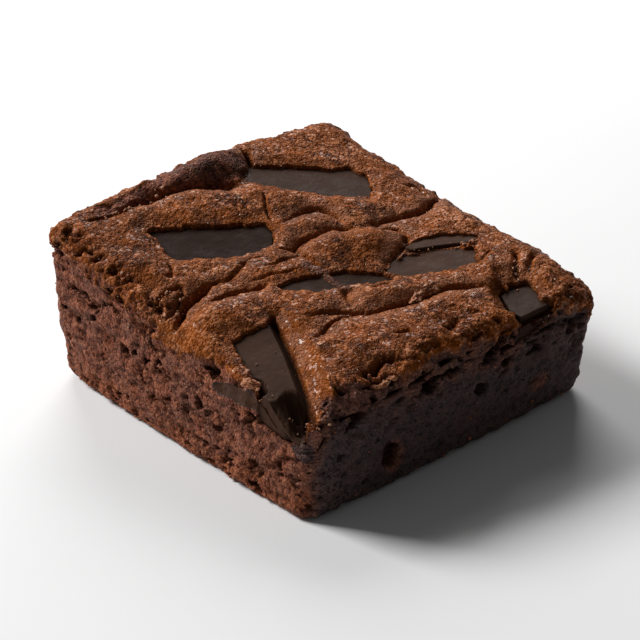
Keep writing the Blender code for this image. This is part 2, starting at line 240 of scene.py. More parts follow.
# Larger holes in the sides: side, middle along and up it, half sizes, turn, depth.
CAVITIES = (
    ("front", (9.1, 20.4), (2.0, 1.3), -10.0, 1.9),
    ("front", (6.7, 13.0), (1.4, 1.3), 0.0, 1.5),
    ("front", (-22.7, 19.4), (1.9, 0.6), 20.0, 1.1),
    ("front", (-27.5, 21.0), (1.4, 0.8), 0.0, 1.1),
    ("front", (-13.6, 14.2), (1.8, 1.5), -20.0, 1.5),
    ("front", (-9.0, 10.8), (0.6, 1.7), 12.0, 0.9),
    ("front", (18.1, 14.1), (0.9, 0.8), 0.0, 1.1),
    ("front", (-3.0, 9.0), (0.9, 0.6), 20.0, 1.0),
    ("front", (11.1, 9.6), (1.4, 0.9), 10.0, 1.0),
    ("front", (19.4, 6.4), (1.1, 0.9), 0.0, 1.2),
    ("front", (25.5, 8.5), (0.8, 1.1), 30.0, 1.1),
    ("front", (2.4, 8.3), (3.2, 0.35), -35.0, 0.8),
    ("front", (-25.0, 20.6), (4.4, 0.45), -6.0, 1.0),
    ("front", (-16.0, 21.3), (3.2, 0.4), -14.0, 0.9),
    ("front", (-7.0, 18.4), (3.0, 0.4), -18.0, 0.8),
    ("right", (-14.4, 7.0), (1.9, 2.7), 12.0, 1.9),
    ("right", (-5.9, 17.0), (1.9, 1.3), 15.0, 1.9),
    ("right", (6.3, 12.0), (1.6, 1.2), -15.0, 1.5),
    ("right", (10.4, 19.0), (2.2, 1.2), 20.0, 2.0),
    ("right", (20.5, 14.6), (1.3, 1.1), 0.0, 1.4),
    ("right", (-22.0, 17.2), (2.6, 0.9), 22.0, 1.5),
    ("right", (-1.0, 18.0), (1.8, 0.8), -10.0, 1.3),
    ("right", (28.5, 15.5), (1.4, 0.7), 20.0, 1.2),
    ("right", (-25.6, 11.2), (0.8, 0.7), 0.0, 0.9),
    ("right", (-20.3, 4.0), (0.7, 0.6), 0.0, 0.8),
)
# Redder crumb that shows through the dragged chocolate: middle along and up the right side, size.
BARE_PATCHES = (((-13.5, 6.4), (2.6, 3.4)), ((21.4, 7.0), (2.4, 1.9)), ((-33.0, 4.0), (1.8, 3.0)))
# Where the front corner broke down: middle, how far it is full and reaches, how deep.
WORN_CORNER = ((31.8, -31.4), (1.0, 3.2), 2.4)
# On the right side the crumb stays torn this far below the crust, under which the knife smeared it.
TORN_BAND = (-9.0, -3.5)

HASH_STEPS = np.array((73856093, 19349663, 83492791))
HASH_SEED_STEP = 1013904223
HASH_MIX = 0x45D9F3B
HASH_MASK = 0xFFFFFFFF
HASH_PART = 1023


def scattered(cells, seed):
    """Three repeatable numbers from 0 to 1 for each whole-numbered cell."""
    mixed = ((cells * HASH_STEPS).sum(axis=1) + seed * HASH_SEED_STEP) & HASH_MASK
    for _round in range(2):
        mixed = ((mixed ^ (mixed >> 16)) * HASH_MIX) & HASH_MASK
    mixed ^= mixed >> 16
    parts = (mixed & HASH_PART, (mixed >> 10) & HASH_PART, (mixed >> 20) & HASH_PART)
    return np.stack(parts, axis=1) / HASH_PART


def noise(points, size, seed):
    """Smooth noise from about -1 to 1, in lumps of about that size."""
    scaled = points / size
    cell = np.floor(scaled).astype(np.int64)
    part = scaled - cell
    ease = part ** 3 * (part * (part * 6.0 - 15.0) + 10.0)
    total = np.zeros(len(points))
    for corner in itertools.product((0, 1), repeat=3):
        slope = scattered(cell + corner, seed) * 2.0 - 1.0
        weight = np.prod(np.where(corner, ease, 1.0 - ease), axis=1)
        total += weight * ((part - corner) * slope).sum(axis=1)
    return total * 1.7


def layered(points, size, seed, layers=3, gain=0.5):
    """Noise in layers, each half the size of the one before."""
    total = 0.0
    for layer in range(layers):
        total = total + gain ** layer * noise(points, size / 2.0 ** layer, seed + layer)
    return total


def domes(points, size, seed):
    """Packed round grains: 1 at the middle of a grain, falling to about 0 between grains."""
    scaled = points / size
    cell = np.floor(scaled).astype(np.int64)
    nearest = np.full(len(points), 9.0)
    for corner in itertools.product((-1, 0, 1), repeat=3):
        near = cell + corner
        gap = near + scattered(near, seed) - scaled
        nearest = np.minimum(nearest, (gap * gap).sum(axis=1))
    return 1.0 - np.minimum(nearest, 1.0)


def holes(points, pitch, seed, chance, smallest, largest):
    """Depth of round holes scattered in the material, in millimetres."""
    scaled = points / pitch
    cell = np.floor(scaled).astype(np.int64)
    depth = np.zeros(len(points))
    for corner in itertools.product((-1, 0, 1), repeat=3):
        near = cell + corner
        gap = (near + scattered(near, seed) - scaled) * pitch
        draw = scattered(near, seed + 1)
        radius = smallest + (largest - smallest) * draw[:, 1] ** 2
        room = radius * radius - (gap * gap).sum(axis=1)
        cut = np.sqrt(np.maximum(room, 0.0)) * (draw[:, 0] < chance)
        depth = np.maximum(depth, cut)
    return depth


def smoothstep(low, high, value):
    """0 below low, 1 above high, and a smooth rise between."""
    part = np.clip((value - low) / (high - low), 0.0, 1.0)
    return part * part * (3.0 - 2.0 * part)


def smooth_route(points, steps=5):
    """Points on a smooth curve through a route's own points."""
    points = np.array(points, float)
    padded = np.vstack([2 * points[0] - points[1], points, 2 * points[-1] - points[-2]])
    found = []
    for i in range(1, len(padded) - 2):
        a, b, c, d = padded[i - 1:i + 3]
        for t in np.arange(steps) / steps:
            found.append(0.5 * (2 * b + (c - a) * t + (2 * a - 5 * b + 4 * c - d) * t * t
                                + (3 * b - a - 3 * c + d) * t ** 3))
    found.append(points[-1])
    return np.array(found)


def near_route(plan, route):
    """Distance of each point from a route, and the share of the route's length there."""
    lengths = np.hypot(*(route[1:] - route[:-1]).T)
    starts = np.concatenate([[0.0], np.cumsum(lengths)])
    best = np.full(len(plan), np.inf)
    share = np.zeros(len(plan))
    for start, end, length, before in zip(route, route[1:], lengths, starts):
        step = (end - start) / length
        along = np.clip((plan - start) @ step, 0.0, length)
        gap = np.hypot(*(plan - start - along[:, None] * step).T)
        closer = gap < best
        best = np.where(closer, gap, best)
        share = np.where(closer, (before + along) / starts[-1], share)
    return best, share


def outline_distance(plan, outline):
    """Distance of each point from an outline, below 0 inside it."""
    outline = np.array(outline, float)
    best = np.full(len(plan), np.inf)
    inside = np.zeros(len(plan), bool)
    for start, end in zip(outline, np.roll(outline, -1, axis=0)):
        step = end - start
        along = np.clip((plan - start) @ step / (step @ step), 0.0, 1.0)
        best = np.minimum(best, np.hypot(*(plan - start - along[:, None] * step).T))
        crosses = (start[1] > plan[:, 1]) != (end[1] > plan[:, 1])
        rise = np.where(crosses, (plan[:, 1] - start[1]) / (step[1] or 1.0), 0.0)
        inside ^= crosses & (plan[:, 0] < start[0] + rise * step[0])
    return np.where(inside, -best, best)


def in_reach(plan, places, reach):
    """Which points lie within reach of the box around some places."""
    places = np.array(places, float)
    low = places.min(axis=0) - reach
    high = places.max(axis=0) + reach
    return np.all((plan > low) & (plan < high), axis=1)


def oval(plan, middle, half, turn):
    """Squared distance from the middle of a turned oval, 1 at its edge."""
    angle = math.radians(turn)
    dx = plan[:, 0] - middle[0]
    dy = plan[:, 1] - middle[1]
    along = (dx * math.cos(angle) + dy * math.sin(angle)) / half[0]
    across = (dy * math.cos(angle) - dx * math.sin(angle)) / half[1]
    return along * along + across * across


def three_point_weights(t):
    """Weights of a smooth curve through stations at -1, 0 and 1."""
    return 0.5 * t * (t - 1.0), 1.0 - t * t, 0.5 * t * (t + 1.0)


def crown_height(x, y):
    """Height of the risen top before its folds."""
    across = three_point_weights(x / HALF_SIDE)
    along = three_point_weights(y / HALF_SIDE)
    return sum(
        row_weight * sum(weight * height for weight, height in zip(across, row))
        for row_weight, row in zip(along, TOP_HEIGHTS))


def slab_level(name):
    """The flat top of a slab, as a function of the place."""
    sink, _thickness, _spread, outline = SLABS[name]
    middle = np.array(outline).mean(axis=0)
    crown = crown_height(*middle)
    slope_x = crown_height(middle[0] + 1.0, middle[1]) - crown
    slope_y = crown_height(middle[0], middle[1] + 1.0) - crown
    return lambda x, y: crown - sink + slope_x * (x - middle[0]) + slope_y * (y - middle[1])


def between_corners(u, v, corners):
    """Points of a four-cornered outline at u, v from -1 to 1."""
    left, front, right, back = np.array(corners, float)
    s = ((u + 1.0) / 2.0)[:, None]
    t = ((v + 1.0) / 2.0)[:, None]
    return (left * (1 - s) + front * s) * (1 - t) + (back * (1 - s) + right * s) * t


def round_corner(u, v):
    """Pull the unit square's corners in to a quarter circle; also gives the way out there."""
    inner = 1.0 - CORNER_RADIUS / HALF_SIDE
    du = u - np.clip(u, -inner, inner)
    dv = v - np.clip(v, -inner, inner)
    reach = np.maximum(np.hypot(du, dv), 1e-9)
    scale = np.maximum(np.abs(du), np.abs(dv)) / reach
    out = np.stack([du / reach, dv / reach], axis=1)
    return u - du + du * scale, v - dv + dv * scale, out


def quarter_round(distance, radius):
    """How far a quarter circle falls back at a distance from its edge, as a part of 1."""
    part = 1.0 - np.clip(distance / radius, 0.0, 1.0)
    return 1.0 - np.sqrt(1.0 - part * part)


def fold_height(plan):
    """What the swellings add to the top and the creases take, the painted shade in each crease, and the
    stretched skin beside it, which also carries a painted sheen.
    """
    height = np.zeros(len(plan))
    for middle, half_length, half_width, turn, rise in LOBES:
        height += rise * np.exp(-oval(plan, middle, (half_length, half_width), turn))
    hollow_shade = np.zeros(len(plan))
    skin = np.zeros(len(plan))
    for depth, half_width, fall, points in CREASES.values():
        route = smooth_route(points)
        near = in_reach(plan, route, SHOULDER_WIDTH * 3.0)
        gap, share = near_route(plan[near], route)
        taper = 0.2 + 0.8 * smoothstep(0.0, 0.2, share) * smoothstep(0.0, 0.2, 1.0 - share)
        groove = np.exp(-(gap / half_width) ** 2)
        shoulder = np.exp(-(gap / SHOULDER_WIDTH) ** 2)
        height[near] -= taper * (depth * groove + fall * shoulder)
        # Painted shade: the groove of a crease is coloured dark as if in shadow.
        painted_shade = np.exp(-(gap / (half_width * 0.8)) ** 2) * np.minimum(1.0, depth / 1.5)
        hollow_shade[near] = np.maximum(hollow_shade[near], painted_shade * taper)
        # Stretched skin on the shoulders is smoother and glossier, and also painted with a lighter sheen.
        stretched = np.exp(-((gap - 1.6) / 1.2) ** 2) * min(1.0, 1.3 * fall)
        skin[near] = np.maximum(skin[near], stretched * taper)
    return height, hollow_shade, skin


def crust_line(x, y, out):
    """Height at which the crust ends on the side that faces this way out."""
    line = np.zeros(len(x))
    weight = np.zeros(len(x))
    ways = {"front": (0, -1), "right": (1, 0), "back": (0, 1), "left": (-1, 0)}
    for side, way in ways.items():
        along, level = np.array(CRUST_EDGE[side], float).T
        facing = np.maximum(out @ np.array(way, float), 0.0) ** 2
        line += facing * np.interp(x if way[0] == 0 else y, along, level)
        weight += facing
    return line / np.maximum(weight, 1e-9)


def shape_cake(u, v, w):
    """Places in millimetres and surface masks of points of the cake.

    u and v run across it from -1 to 1 and w up it from 0 to 1.
    """
    edge = (1.0 - np.maximum(np.abs(u), np.abs(v))) * HALF_SIDE
    on_side = edge < 1e-6
    on_top = w > 1.0 - 1e-9
    ru, rv, out = round_corner(u, v)
    top = between_corners(ru, rv, TOP_CORNERS)
    flat = np.column_stack([top, np.zeros(len(top))])
    warp = np.stack([noise(flat, 5.0, 11), noise(flat, 5.0, 12)], axis=1) * 0.5
    warp += np.stack([noise(flat, 1.4, 13), noise(flat, 1.4, 14)], axis=1) * 0.22
    folds, hollow_shade, skin = fold_height(top + warp)
    height = crown_height(top[:, 0], top[:, 1]) + folds
    height += 0.45 * noise(flat, 7.0, 15) - EDGE_ROLL_DROP * quarter_round(edge, EDGE_ROLL_WIDTH)

    bunched = w * w * (3.0 - 2.0 * w)
    z = height * (w + STEP_BUNCHING * (bunched - w))
    base = between_corners(ru, rv, BASE_CORNERS)
    plan = base + (top - base) * (w ** LEAN_POWER)[:, None]
    rough = np.column_stack([plan, z])
    foot = FOOT_RADIUS * quarter_round(z, FOOT_RADIUS)
    swell = SIDE_SWELL + 0.45 * noise(rough, 7.0, 16)
    bow = SIDE_BOW * (1.0 - np.minimum(np.abs(u), np.abs(v)) ** 2) * (1.0 - w)
    push = swell * np.sin(np.pi * w) + bow - foot
    reach_in = np.where(on_side, 1.0, np.maximum(np.abs(u), np.abs(v)) ** 6 * (w < 0.5))
    plan = plan + out * (push * reach_in)[:, None]
    points = np.column_stack([plan, z])

    # The way a point moves when the surface swells: up on top, out at the sides.
    tilt = np.where(on_side, 1.0 - 0.5 * smoothstep(0.82, 1.0, w), 0.5 * (1 - smoothstep(0, 4.5, edge)))
    below = (w < 1e-9) & ~on_side
    tilt = np.where(below, 0.0, tilt)
    way = np.column_stack([out * tilt[:, None], np.where(below, -1.0, 1.0 - tilt)])
    way /= np.maximum(np.linalg.norm(way, axis=1), 1e-9)[:, None]

    soft = np.column_stack([u, v]) ** 3 * np.abs(np.column_stack([u, v])) ** 20
    soft /= np.maximum(np.hypot(*soft.T), 1e-9)[:, None]
    toward = np.where(on_side[:, None], out, soft)
    line = crust_line(plan[:, 0], plan[:, 1], toward)
    right_way = np.maximum(toward[:, 0], 0.0) ** 2 * (edge < 6.5)
    front_way = np.maximum(-toward[:, 1], 0.0) ** 2
    ragged = (1.0 - right_way) * (edge < 6.5) * (1.0 - front_way * smoothstep(-8.0, -2.0, plan[:, 0]))
    rag = layered(points, 1.8, 21) * (0.9 + 0.5 * right_way + 2.2 * ragged)
    above = z + 0.45 * edge - line - rag
    crust = smoothstep(-0.35 - 0.5 * right_way, 0.35 + 0.2 * right_way, above)
    crust = np.where(on_side, crust, np.maximum(crust, smoothstep(4.5, 6.0, edge)))
    roll, crumbly = (1.0 - smoothstep(0.8, 1.15, oval(top + 1.5 * warp, *tear)) for tear in RIM_TEARS)
    roll = np.maximum(roll, crumbly)
    crust = crust * (1.0 - roll * (z > line))
    crust = np.where(w < 1e-9, 0.0, crust)

    # The knife dragged chocolate over the crumb of the right side and below two slabs; the same mask also paints
    # the crumb of the whole right side dark as its shade.
    spots = {"front": np.column_stack([plan[:, 0], z]), "right": np.column_stack([plan[:, 1], z])}
    facing = {"front": -out[:, 1] * on_side, "right": out[:, 0] * on_side}
    bare = 0.0
    for middle, half in BARE_PATCHES:
        bare = np.maximum(bare, 1.0 - smoothstep(0.4, 1.4, oval(spots["right"] + warp, middle, half, 0.0)))
    torn = smoothstep(*TORN_BAND, z + 0.45 * edge - line + 2.2 * layered(points, 4.0, 22)) * right_way
    torn *= 1.0 - 0.7 * smoothstep(18.0, 27.0, plan[:, 1])
    rim_reach = smoothstep(1.2, 0.4, edge) * (1.0 - front_way) + smoothstep(4.5, 2.0, edge) * front_way
    broken = ragged * rim_reach * smoothstep(-3.0, 0.5, z - line) * (1.0 - roll)
    crust = crust * (1.0 - 0.6 * broken * smoothstep(-0.1, 0.35, layered(points, 1.3, 73)))
    # Partly real dragged chocolate, partly painted shade: the whole right side takes the dark smear colour.
    smear_and_side_shade = right_way * (1.0 - 0.6 * bare) * (1.0 - crust) * (1.0 - 0.5 * torn)
    smear_and_side_shade = np.maximum(smear_and_side_shade, 0.12 * roll * (z > line))
    for side, middle, half, thick in SMEARS:
        patch = 1.0 - smoothstep(0.75, 1.1, oval(spots[side] + 1.7 * warp, middle, half, 0.0))
        smear_and_side_shade = np.maximum(smear_and_side_shade, thick * patch * (facing[side] > 0.7))
    dragged = np.clip(smear_and_side_shade - 1.0, 0.0, 1.0)

    warped = points + 0.2 * np.stack([noise(points, 0.8, s) for s in (31, 32, 33)], axis=1)
    swelled = 0.28 * noise(points, 2.8, 34)
    large = domes(warped, 1.0, 35)
    small = domes(warped, 0.55, 39)
    # Crust: packed grains with pits between them.
    clumps = layered(points, 1.5, 36)
    knobbly = 0.45 + 0.55 * smoothstep(-0.25, 0.45, noise(points, 6.0, 40))
    crust_grain = knobbly * (0.11 * large + 0.11 * small) + 0.13 * clumps - 0.05
    crust_pits = holes(warped, 1.8, 38, 0.3 * knobbly, 0.1, 0.45)
    # The crust's tone is lighter on grain tops and darker in pits: partly its own colour, partly painted
    # highlight and shade.
    crust_tone = 0.4 * large + 0.35 * small + 0.3 * clumps - 0.8 * crust_pits
    # Crumb: looser grains with many holes, larger towards the front corner.
    coarse = 1.0 + 0.5 * smoothstep(-10.0, 30.0, plan[:, 0] - plan[:, 1] - 30.0)
    tunnel = points + 0.5 * np.stack([noise(points, 1.1, s) for s in (51, 52, 53)], axis=1)
    tunnel[:, 2] *= 1.5
    open_crumb = smoothstep(-0.5, 0.4, noise(points, 9.0, 54))
    small_pores = holes(warped, 1.4, 48, 0.1 + 0.3 * open_crumb, 0.08, 0.42)
    large_pores = holes(tunnel, 3.2, 50, 0.06 + 0.3 * open_crumb, 0.2, 1.1)
    smeared = np.minimum(smear_and_side_shade, 1.0)
    under_crust = smoothstep(-6.5, -1.0, z - line)
    large_pores = large_pores * (1.0 - smeared * (1.0 - under_crust))
    rolled = roll * smoothstep(-13.0, -8.0, plan[:, 1]) * (z > line)
    pores = np.maximum(small_pores, large_pores) * (1.0 - dragged) * (1.0 - 0.8 * rolled)
    rough_crumb = 0.35 + 0.65 * open_crumb
    foot_grain = 0.5 * smoothstep(9.0, 3.0, z)
    body = (rough_crumb + foot_grain) * (0.07 * large + 0.09 * small) + 0.13 * clumps * coarse - 0.05
    body = (body + 0.1 * clumps * smeared) * (1.0 - 0.8 * dragged) * (1.0 - 0.7 * rolled)
    ledges = layered(points * (1.0, 0.7, 1.7), 2.8, 71)
    lumps = domes(warped * (1.0, 1.0, 1.25), 1.9, 72)
    coarser = 0.55 + 0.45 * smoothstep(-22.0, 0.0, plan[:, 0] - z) + 0.3 * smoothstep(8.0, 3.0, z)
    lumpy = coarser * rough_crumb * (1.0 - 0.6 * smeared) * (1.0 - dragged) * (1.0 - rolled)
    body += lumpy * (0.34 * lumps + 0.22 * ledges - 0.12 - 1.3 * np.maximum(0.0, -0.3 - ledges))
    body += torn * (0.45 * ledges - 0.35 - 2.2 * np.maximum(0.0, -0.22 - ledges))
    caves = np.zeros(len(plan))
    for side, middle, half, turn, depth in CAVITIES:
        spot = spots[side] + 0.9 * warp + 0.55 * clumps[:, None] + 0.4 * ledges[:, None]
        room = np.maximum(0.0, 1.0 - oval(spot, middle, half, turn))
        caves = np.maximum(caves, depth * np.sqrt(room) * (facing[side] > 0.7))
    # The crumb's tone is lighter on lumps and darker in pores and torn crevices: partly its own colour, partly
    # painted highlight and shade.
    body_tone = 0.05 + 0.25 * large + 0.25 * small + 0.3 * clumps + 0.3 * lumps - 0.8 * pores
    body_tone -= torn * 1.5 * np.maximum(0.0, -0.1 - ledges)

    cake = crust * (crust_grain * (1.0 - 0.55 * skin) + 0.2 - crust_pits * (1.0 - 0.7 * skin))
    crumb = (1.0 - crust) * (body - 0.25 - pores)
    rise = swelled + cake + crumb - caves
    rise += broken * (0.4 * ledges + 0.3 * lumps + 0.18 * large + 0.1 * small - 0.35)
    rise -= 1.6 * broken * np.maximum(0.0, -0.2 - ledges)
    scuffed = right_way * smoothstep(7.0, 3.0, edge) * smoothstep(-1.0, 1.5, z - line) * (1.0 - roll)
    rise += scuffed * (0.3 * lumps + 0.2 * large + 0.15 * small + 0.25 * ledges - 0.32)
    rise -= 1.2 * scuffed * np.maximum(0.0, -0.3 - ledges)
    tone = crust * (crust_tone + 0.25 * scuffed * (lumps - 0.6)) + (1.0 - crust) * body_tone
    # Painted shade: pits, pores and caves are coloured darker the deeper they are.
    sunken = np.maximum(crust * crust_pits / 0.45, (1.0 - crust) * np.maximum(pores / 0.6, caves / 1.2))
    hollow_shade = np.maximum(np.where(on_top, hollow_shade, 0.0), np.clip(sunken, 0.0, 1.0))
    split = np.maximum(torn * (1.0 - crust), np.maximum(0.8 * broken, 0.6 * scuffed))
    split = np.maximum(split, 0.7 * lumpy * (1.0 - crust) * on_side)
    # Painted shade in the crevices of torn crumb.
    crevice = split * smoothstep(0.22, 0.5, -ledges)
    hollow_shade = np.maximum(hollow_shade, crevice)
    on_floor = w < 1e-9
    rise = np.where(on_floor & ~on_side, np.minimum(0.0, rise), rise)
    points = points + way * rise[:, None]
    points[:, 2] = np.maximum(points[:, 2], 0.0)

    middle, (full, none), drop = WORN_CORNER
    worn = 1.0 - smoothstep(full, none, np.hypot(*(points[:, :2] - middle).T))
    points[:, 2] -= drop * worn * smoothstep(10.0, 17.0, points[:, 2])

    painted_shade, gloss_and_sheen_ring, coated = lay_in_slabs(points, on_top, on_side, out)
    hollow_shade = np.maximum(hollow_shade, painted_shade)
    skin = np.maximum(skin, gloss_and_sheen_ring)
    smear_and_side_shade = np.maximum(smear_and_side_shade, coated)
    dark_patches_and_sheen = np.zeros(len(plan))
    for middle, half, turn, amount in DARK_PATCHES_AND_SHEEN:
        dark_patches_and_sheen += amount * np.exp(-oval(top + warp, middle, half, turn) ** 2)
    dark_patches_and_sheen += 0.12 * noise(points, 5.0, 65)
    masks = {
        "crust": crust, "hollow_shade": hollow_shade, "smear_and_side_shade": smear_and_side_shade, "skin": skin * crust, "tone": tone,
        "dark_patches_and_sheen": dark_patches_and_sheen * (z > line - 1.0), "broken": np.maximum(broken, scuffed),
        "foot": on_side * smoothstep(8.0, 1.5, z + 3.0 * layered(points, 5.0, 67))}
    return points, masks


def lay_in_slabs(points, on_top, on_side, out):
    """Lower the crust to meet each slab and hide it inside the slab's outline.

    Gives the painted shade in the gap beside a slab and in the recess behind a knife cut, a ring of stretched
    skin around it that also carries a painted sheen, and where a film of crust took on the slab's colour.
    """
    painted_shade = np.zeros(len(points))
    gloss_and_sheen_ring = np.zeros(len(points))
    for name, (_sink, thickness, _spread, outline) in SLABS.items():
        near = in_reach(points[:, :2], outline, 5.0) & on_top
        spot = points[near]
        plan = spot[:, :2]
        away = outline_distance(plan, outline)
        lap = LAP + LAP_NOISE * layered(spot * (1, 1, 0), 2.2, 61, layers=2)
        drop = np.zeros(len(plan))
        for slab, middle, half, turn, clear in CLEAR_PLACES:
            if slab == name:
                within = 1.0 - smoothstep(0.7, 1.3, oval(plan, middle, half, turn))
                lap = lap * (1.0 - within) + clear * within
                drop = np.maximum(drop, within)
        level = slab_level(name)(plan[:, 0], plan[:, 1])
        beyond = away + lap
        lip = level + LIP_RISE - (LIP_RISE + CLEAR_LIP_DROP) * drop
        lip += LIP_SLOPE * np.maximum(beyond, 0.0)
        soft = np.minimum(spot[:, 2], lip + 0.25 * (spot[:, 2] - lip))
        fade = smoothstep(1.0, 4.5, beyond)
        z = soft * (1.0 - fade) + spot[:, 2] * fade
        floor = level + 0.12 - (0.6 + drop) * np.maximum(beyond, 0.0) - drop
        z = np.maximum(z, floor)
        wall = level + 0.2 + WALL_SLOPE * beyond
        under = SINK_BELOW + 0.0 * beyond
        if name == "chunk_front":
            under += broken_off(plan + (1.0, 0.0)) + 0.5
        z = np.minimum(z, np.maximum(wall, level - under))
        points[near, 2] = z
        # Painted shade: the gap beside a slab is coloured dark as if in shadow.
        painted_shade[near] = np.maximum(painted_shade[near], 1.0 - smoothstep(-0.3, 0.25, beyond))
        # A ring of glossy skin round the slab, also painted with a lighter sheen.
        ring = np.exp(-((beyond - 1.0) / 1.3) ** 2) * smoothstep(-0.3, 0.4, noise(spot, 3.5, 62))
        gloss_and_sheen_ring[near] = np.maximum(gloss_and_sheen_ring[near], GLOSS_AND_SHEEN_RING.get(name, 0.3) * ring)
    name, half_width, points_across = FILM
    near = np.flatnonzero(in_reach(points[:, :2], points_across, 1.0) & on_top)
    gap, share = near_route(points[near, :2], smooth_route(points_across))
    level = slab_level(name)(points[near, 0], points[near, 1])
    strand = level + 0.3 - 0.5 * (gap / half_width) ** 2
    points[near, 2] = np.maximum(points[near, 2], np.where(gap < half_width * 1.6, strand, -1.0))
    film = 1.0 - smoothstep(0.6, 1.0, gap / half_width)
    painted_shade[near] *= 1.0 - film
    coated = np.zeros(len(points))
    coated[near] = 0.5 * film
    for name, (side, (start, end), behind, down) in KNIFE_CUTS.items():
        level = slab_level(name)(points[:, 0], points[:, 1])
        along, across, way = (0, 1, -1) if side == "front" else (1, 0, 1)
        place = points[:, along]
        within = smoothstep(start - 0.5, start + 0.5, place) * (1.0 - smoothstep(end - 0.5, end + 0.5, place))
        within = within * on_side * (way * out[:, across] > 0.5)
        low = level - np.interp(place, (start, end), down)
        depth = smoothstep(low - 0.8, low + 0.2, points[:, 2]) * within
        points[:, across] -= way * behind * depth
        under = SINK_BELOW + (FRONT_BREAK_DEEPEST if name == "chunk_front" else 0.0)
        top = np.minimum(points[:, 2], level - under)
        points[:, 2] = points[:, 2] * (1.0 - within) + top * within
        # Painted shade in the recess that the knife cut left.
        painted_shade = np.maximum(painted_shade, depth)
    return painted_shade, gloss_and_sheen_ring, coated


# How a wedge's grid lies on the block: its name, and (u, v, w) from the grid's own x and y.
WEDGES = {
    "crust_top": lambda x, y: (x, y, np.ones_like(x)),
    "crumb_front": lambda x, y: (x, -np.ones_like(x), (y + 1.0) / 2.0),
    "crumb_right": lambda x, y: (np.ones_like(x), x, (y + 1.0) / 2.0),
    "crumb_back": lambda x, y: (-x, np.ones_like(x), (y + 1.0) / 2.0),
    "crumb_left": lambda x, y: (-np.ones_like(x), -x, (y + 1.0) / 2.0),
    "crumb_base": lambda x, y: (x, -y, np.zeros_like(x)),
}


def wedge_mesh(name, across, up):
    """A closed wedge: a fine grid for its outer face, walls and a lid towards the cake's heart."""
    bm = bmesh.new()
    bmesh.ops.create_grid(bm, x_segments=across, y_segments=up, size=1.0)
    rim = [edge for edge in bm.edges if edge.is_boundary]
    made = bmesh.ops.extrude_edge_only(bm, edges=rim)["geom"]
    ring = [item for item in made if isinstance(item, bmesh.types.BMVert)]
    bmesh.ops.translate(bm, verts=ring, vec=(0.0, 0.0, -1.0))
    loop = [item for item in made if isinstance(item, bmesh.types.BMEdge)]
    bmesh.ops.holes_fill(bm, edges=loop, sides=0)
    bmesh.ops.recalc_face_normals(bm, faces=bm.faces)
    mesh = bpy.data.meshes.new(name)
    bm.to_mesh(mesh)
    bm.free()
    return mesh


def read_places(mesh):
    """The places of a mesh's points, as an array."""
    places = np.empty(len(mesh.vertices) * 3)
    mesh.vertices.foreach_get("co", places)
    return places.reshape(-1, 3)


def add_normals(mesh, places, skin, normals):
    """Add to each point the normals of the faces of the outer grid around it."""
    corners = np.empty(len(mesh.loops), int)
    mesh.loops.foreach_get("vertex_index", corners)
    sides = np.empty(len(mesh.polygons), int)
    mesh.polygons.foreach_get("loop_total", sides)
    firsts = np.cumsum(sides) - sides
    quads = corners[firsts[sides == 4][:, None] + np.arange(4)]
    quads = quads[skin[quads].all(axis=1)]
    a, b, c, d = (places[quads[:, i]] for i in range(4))
    across = np.cross(c - a, d - b)
    for i in range(4):
        for axis in range(3):
            normals[:, axis] += np.bincount(quads[:, i], across[:, axis], len(places))


def build_cake():
    """The six wedges of the cake, shaped together so that their seams agree."""
    meshes, spots, inner = {}, [], []
    for name, lay in WEDGES.items():
        if name == "crumb_base":
            sizes = (CELLS_BASE, CELLS_BASE)
        elif name == "crust_top":
            sizes = (CELLS_ACROSS, CELLS_ACROSS)
        else:
            sizes = (CELLS_ACROSS, CELLS_UP)
        mesh = wedge_mesh(name, *sizes)
        grid = read_places(mesh)
        meshes[name] = mesh
        spots.append(np.column_stack(lay(grid[:, 0], grid[:, 1])))
        inner.append(grid[:, 2] < -0.5)
    counts = [len(part) for part in spots]
    spots = np.round(np.vstack(spots), 6)
    inner = np.concatenate(inner)
    places, masks = shape_cake(*spots.T)
    heart = spots * (HEART_HALF, HEART_HALF, HEART_HIGH - HEART_LOW) + (0.0, 0.0, HEART_LOW)
    places = np.where(inner[:, None], heart, places) * MM

    ends = np.cumsum(counts)
    starts = ends - counts
    normals = np.zeros_like(places)
    for mesh, start, end in zip(meshes.values(), starts, ends):
        mesh.vertices.foreach_set("co", places[start:end].ravel())
        add_normals(mesh, places[start:end], ~inner[start:end], normals[start:end])
    # Points that wedges share get one normal, so that no seam shows in the light.
    _keys, shared = np.unique(spots[~inner], axis=0, return_inverse=True)
    summed = np.zeros((shared.max() + 1, 3))
    np.add.at(summed, shared.ravel(), normals[~inner])
    normals[~inner] = summed[shared.ravel()]
    normals /= np.maximum(np.linalg.norm(normals, axis=1), 1e-20)[:, None]
    # Painted glow: steep slopes of the crust are marked to take a warmer orange.
    masks["slope_glow"] = smoothstep(0.06, 0.4, 1.0 - normals[:, 2]) * smoothstep(1.0, 0.5, 1.0 - normals[:, 2])
    masks["slope_glow"] *= 1.0 - 0.9 * masks.pop("broken")

    pieces = []
    for (name, mesh), start, end in zip(meshes.items(), starts, ends):
        for mask, values in masks.items():
            attribute = mesh.attributes.new(mask, "FLOAT", "POINT")
            attribute.data.foreach_set("value", values[start:end].astype(np.float32))
        mesh.shade_smooth()
        mesh.update()
        mesh.normals_split_custom_set_from_vertices(normals[start:end])
        piece = bpy.data.objects.new(name, mesh)
        bpy.context.scene.collection.objects.link(piece)
        pieces.append(piece)
    return pieces


# ---------------------------------------------------------------- chocolate slabs

SLAB_STEPS_AROUND = 220
SLAB_RINGS = 26
SLAB_WALL_ROWS = 10
SLAB_CORNER_BLUR = 5
SLAB_RIM_RADIUS = 0.35
SLAB_SWELL = 0.25
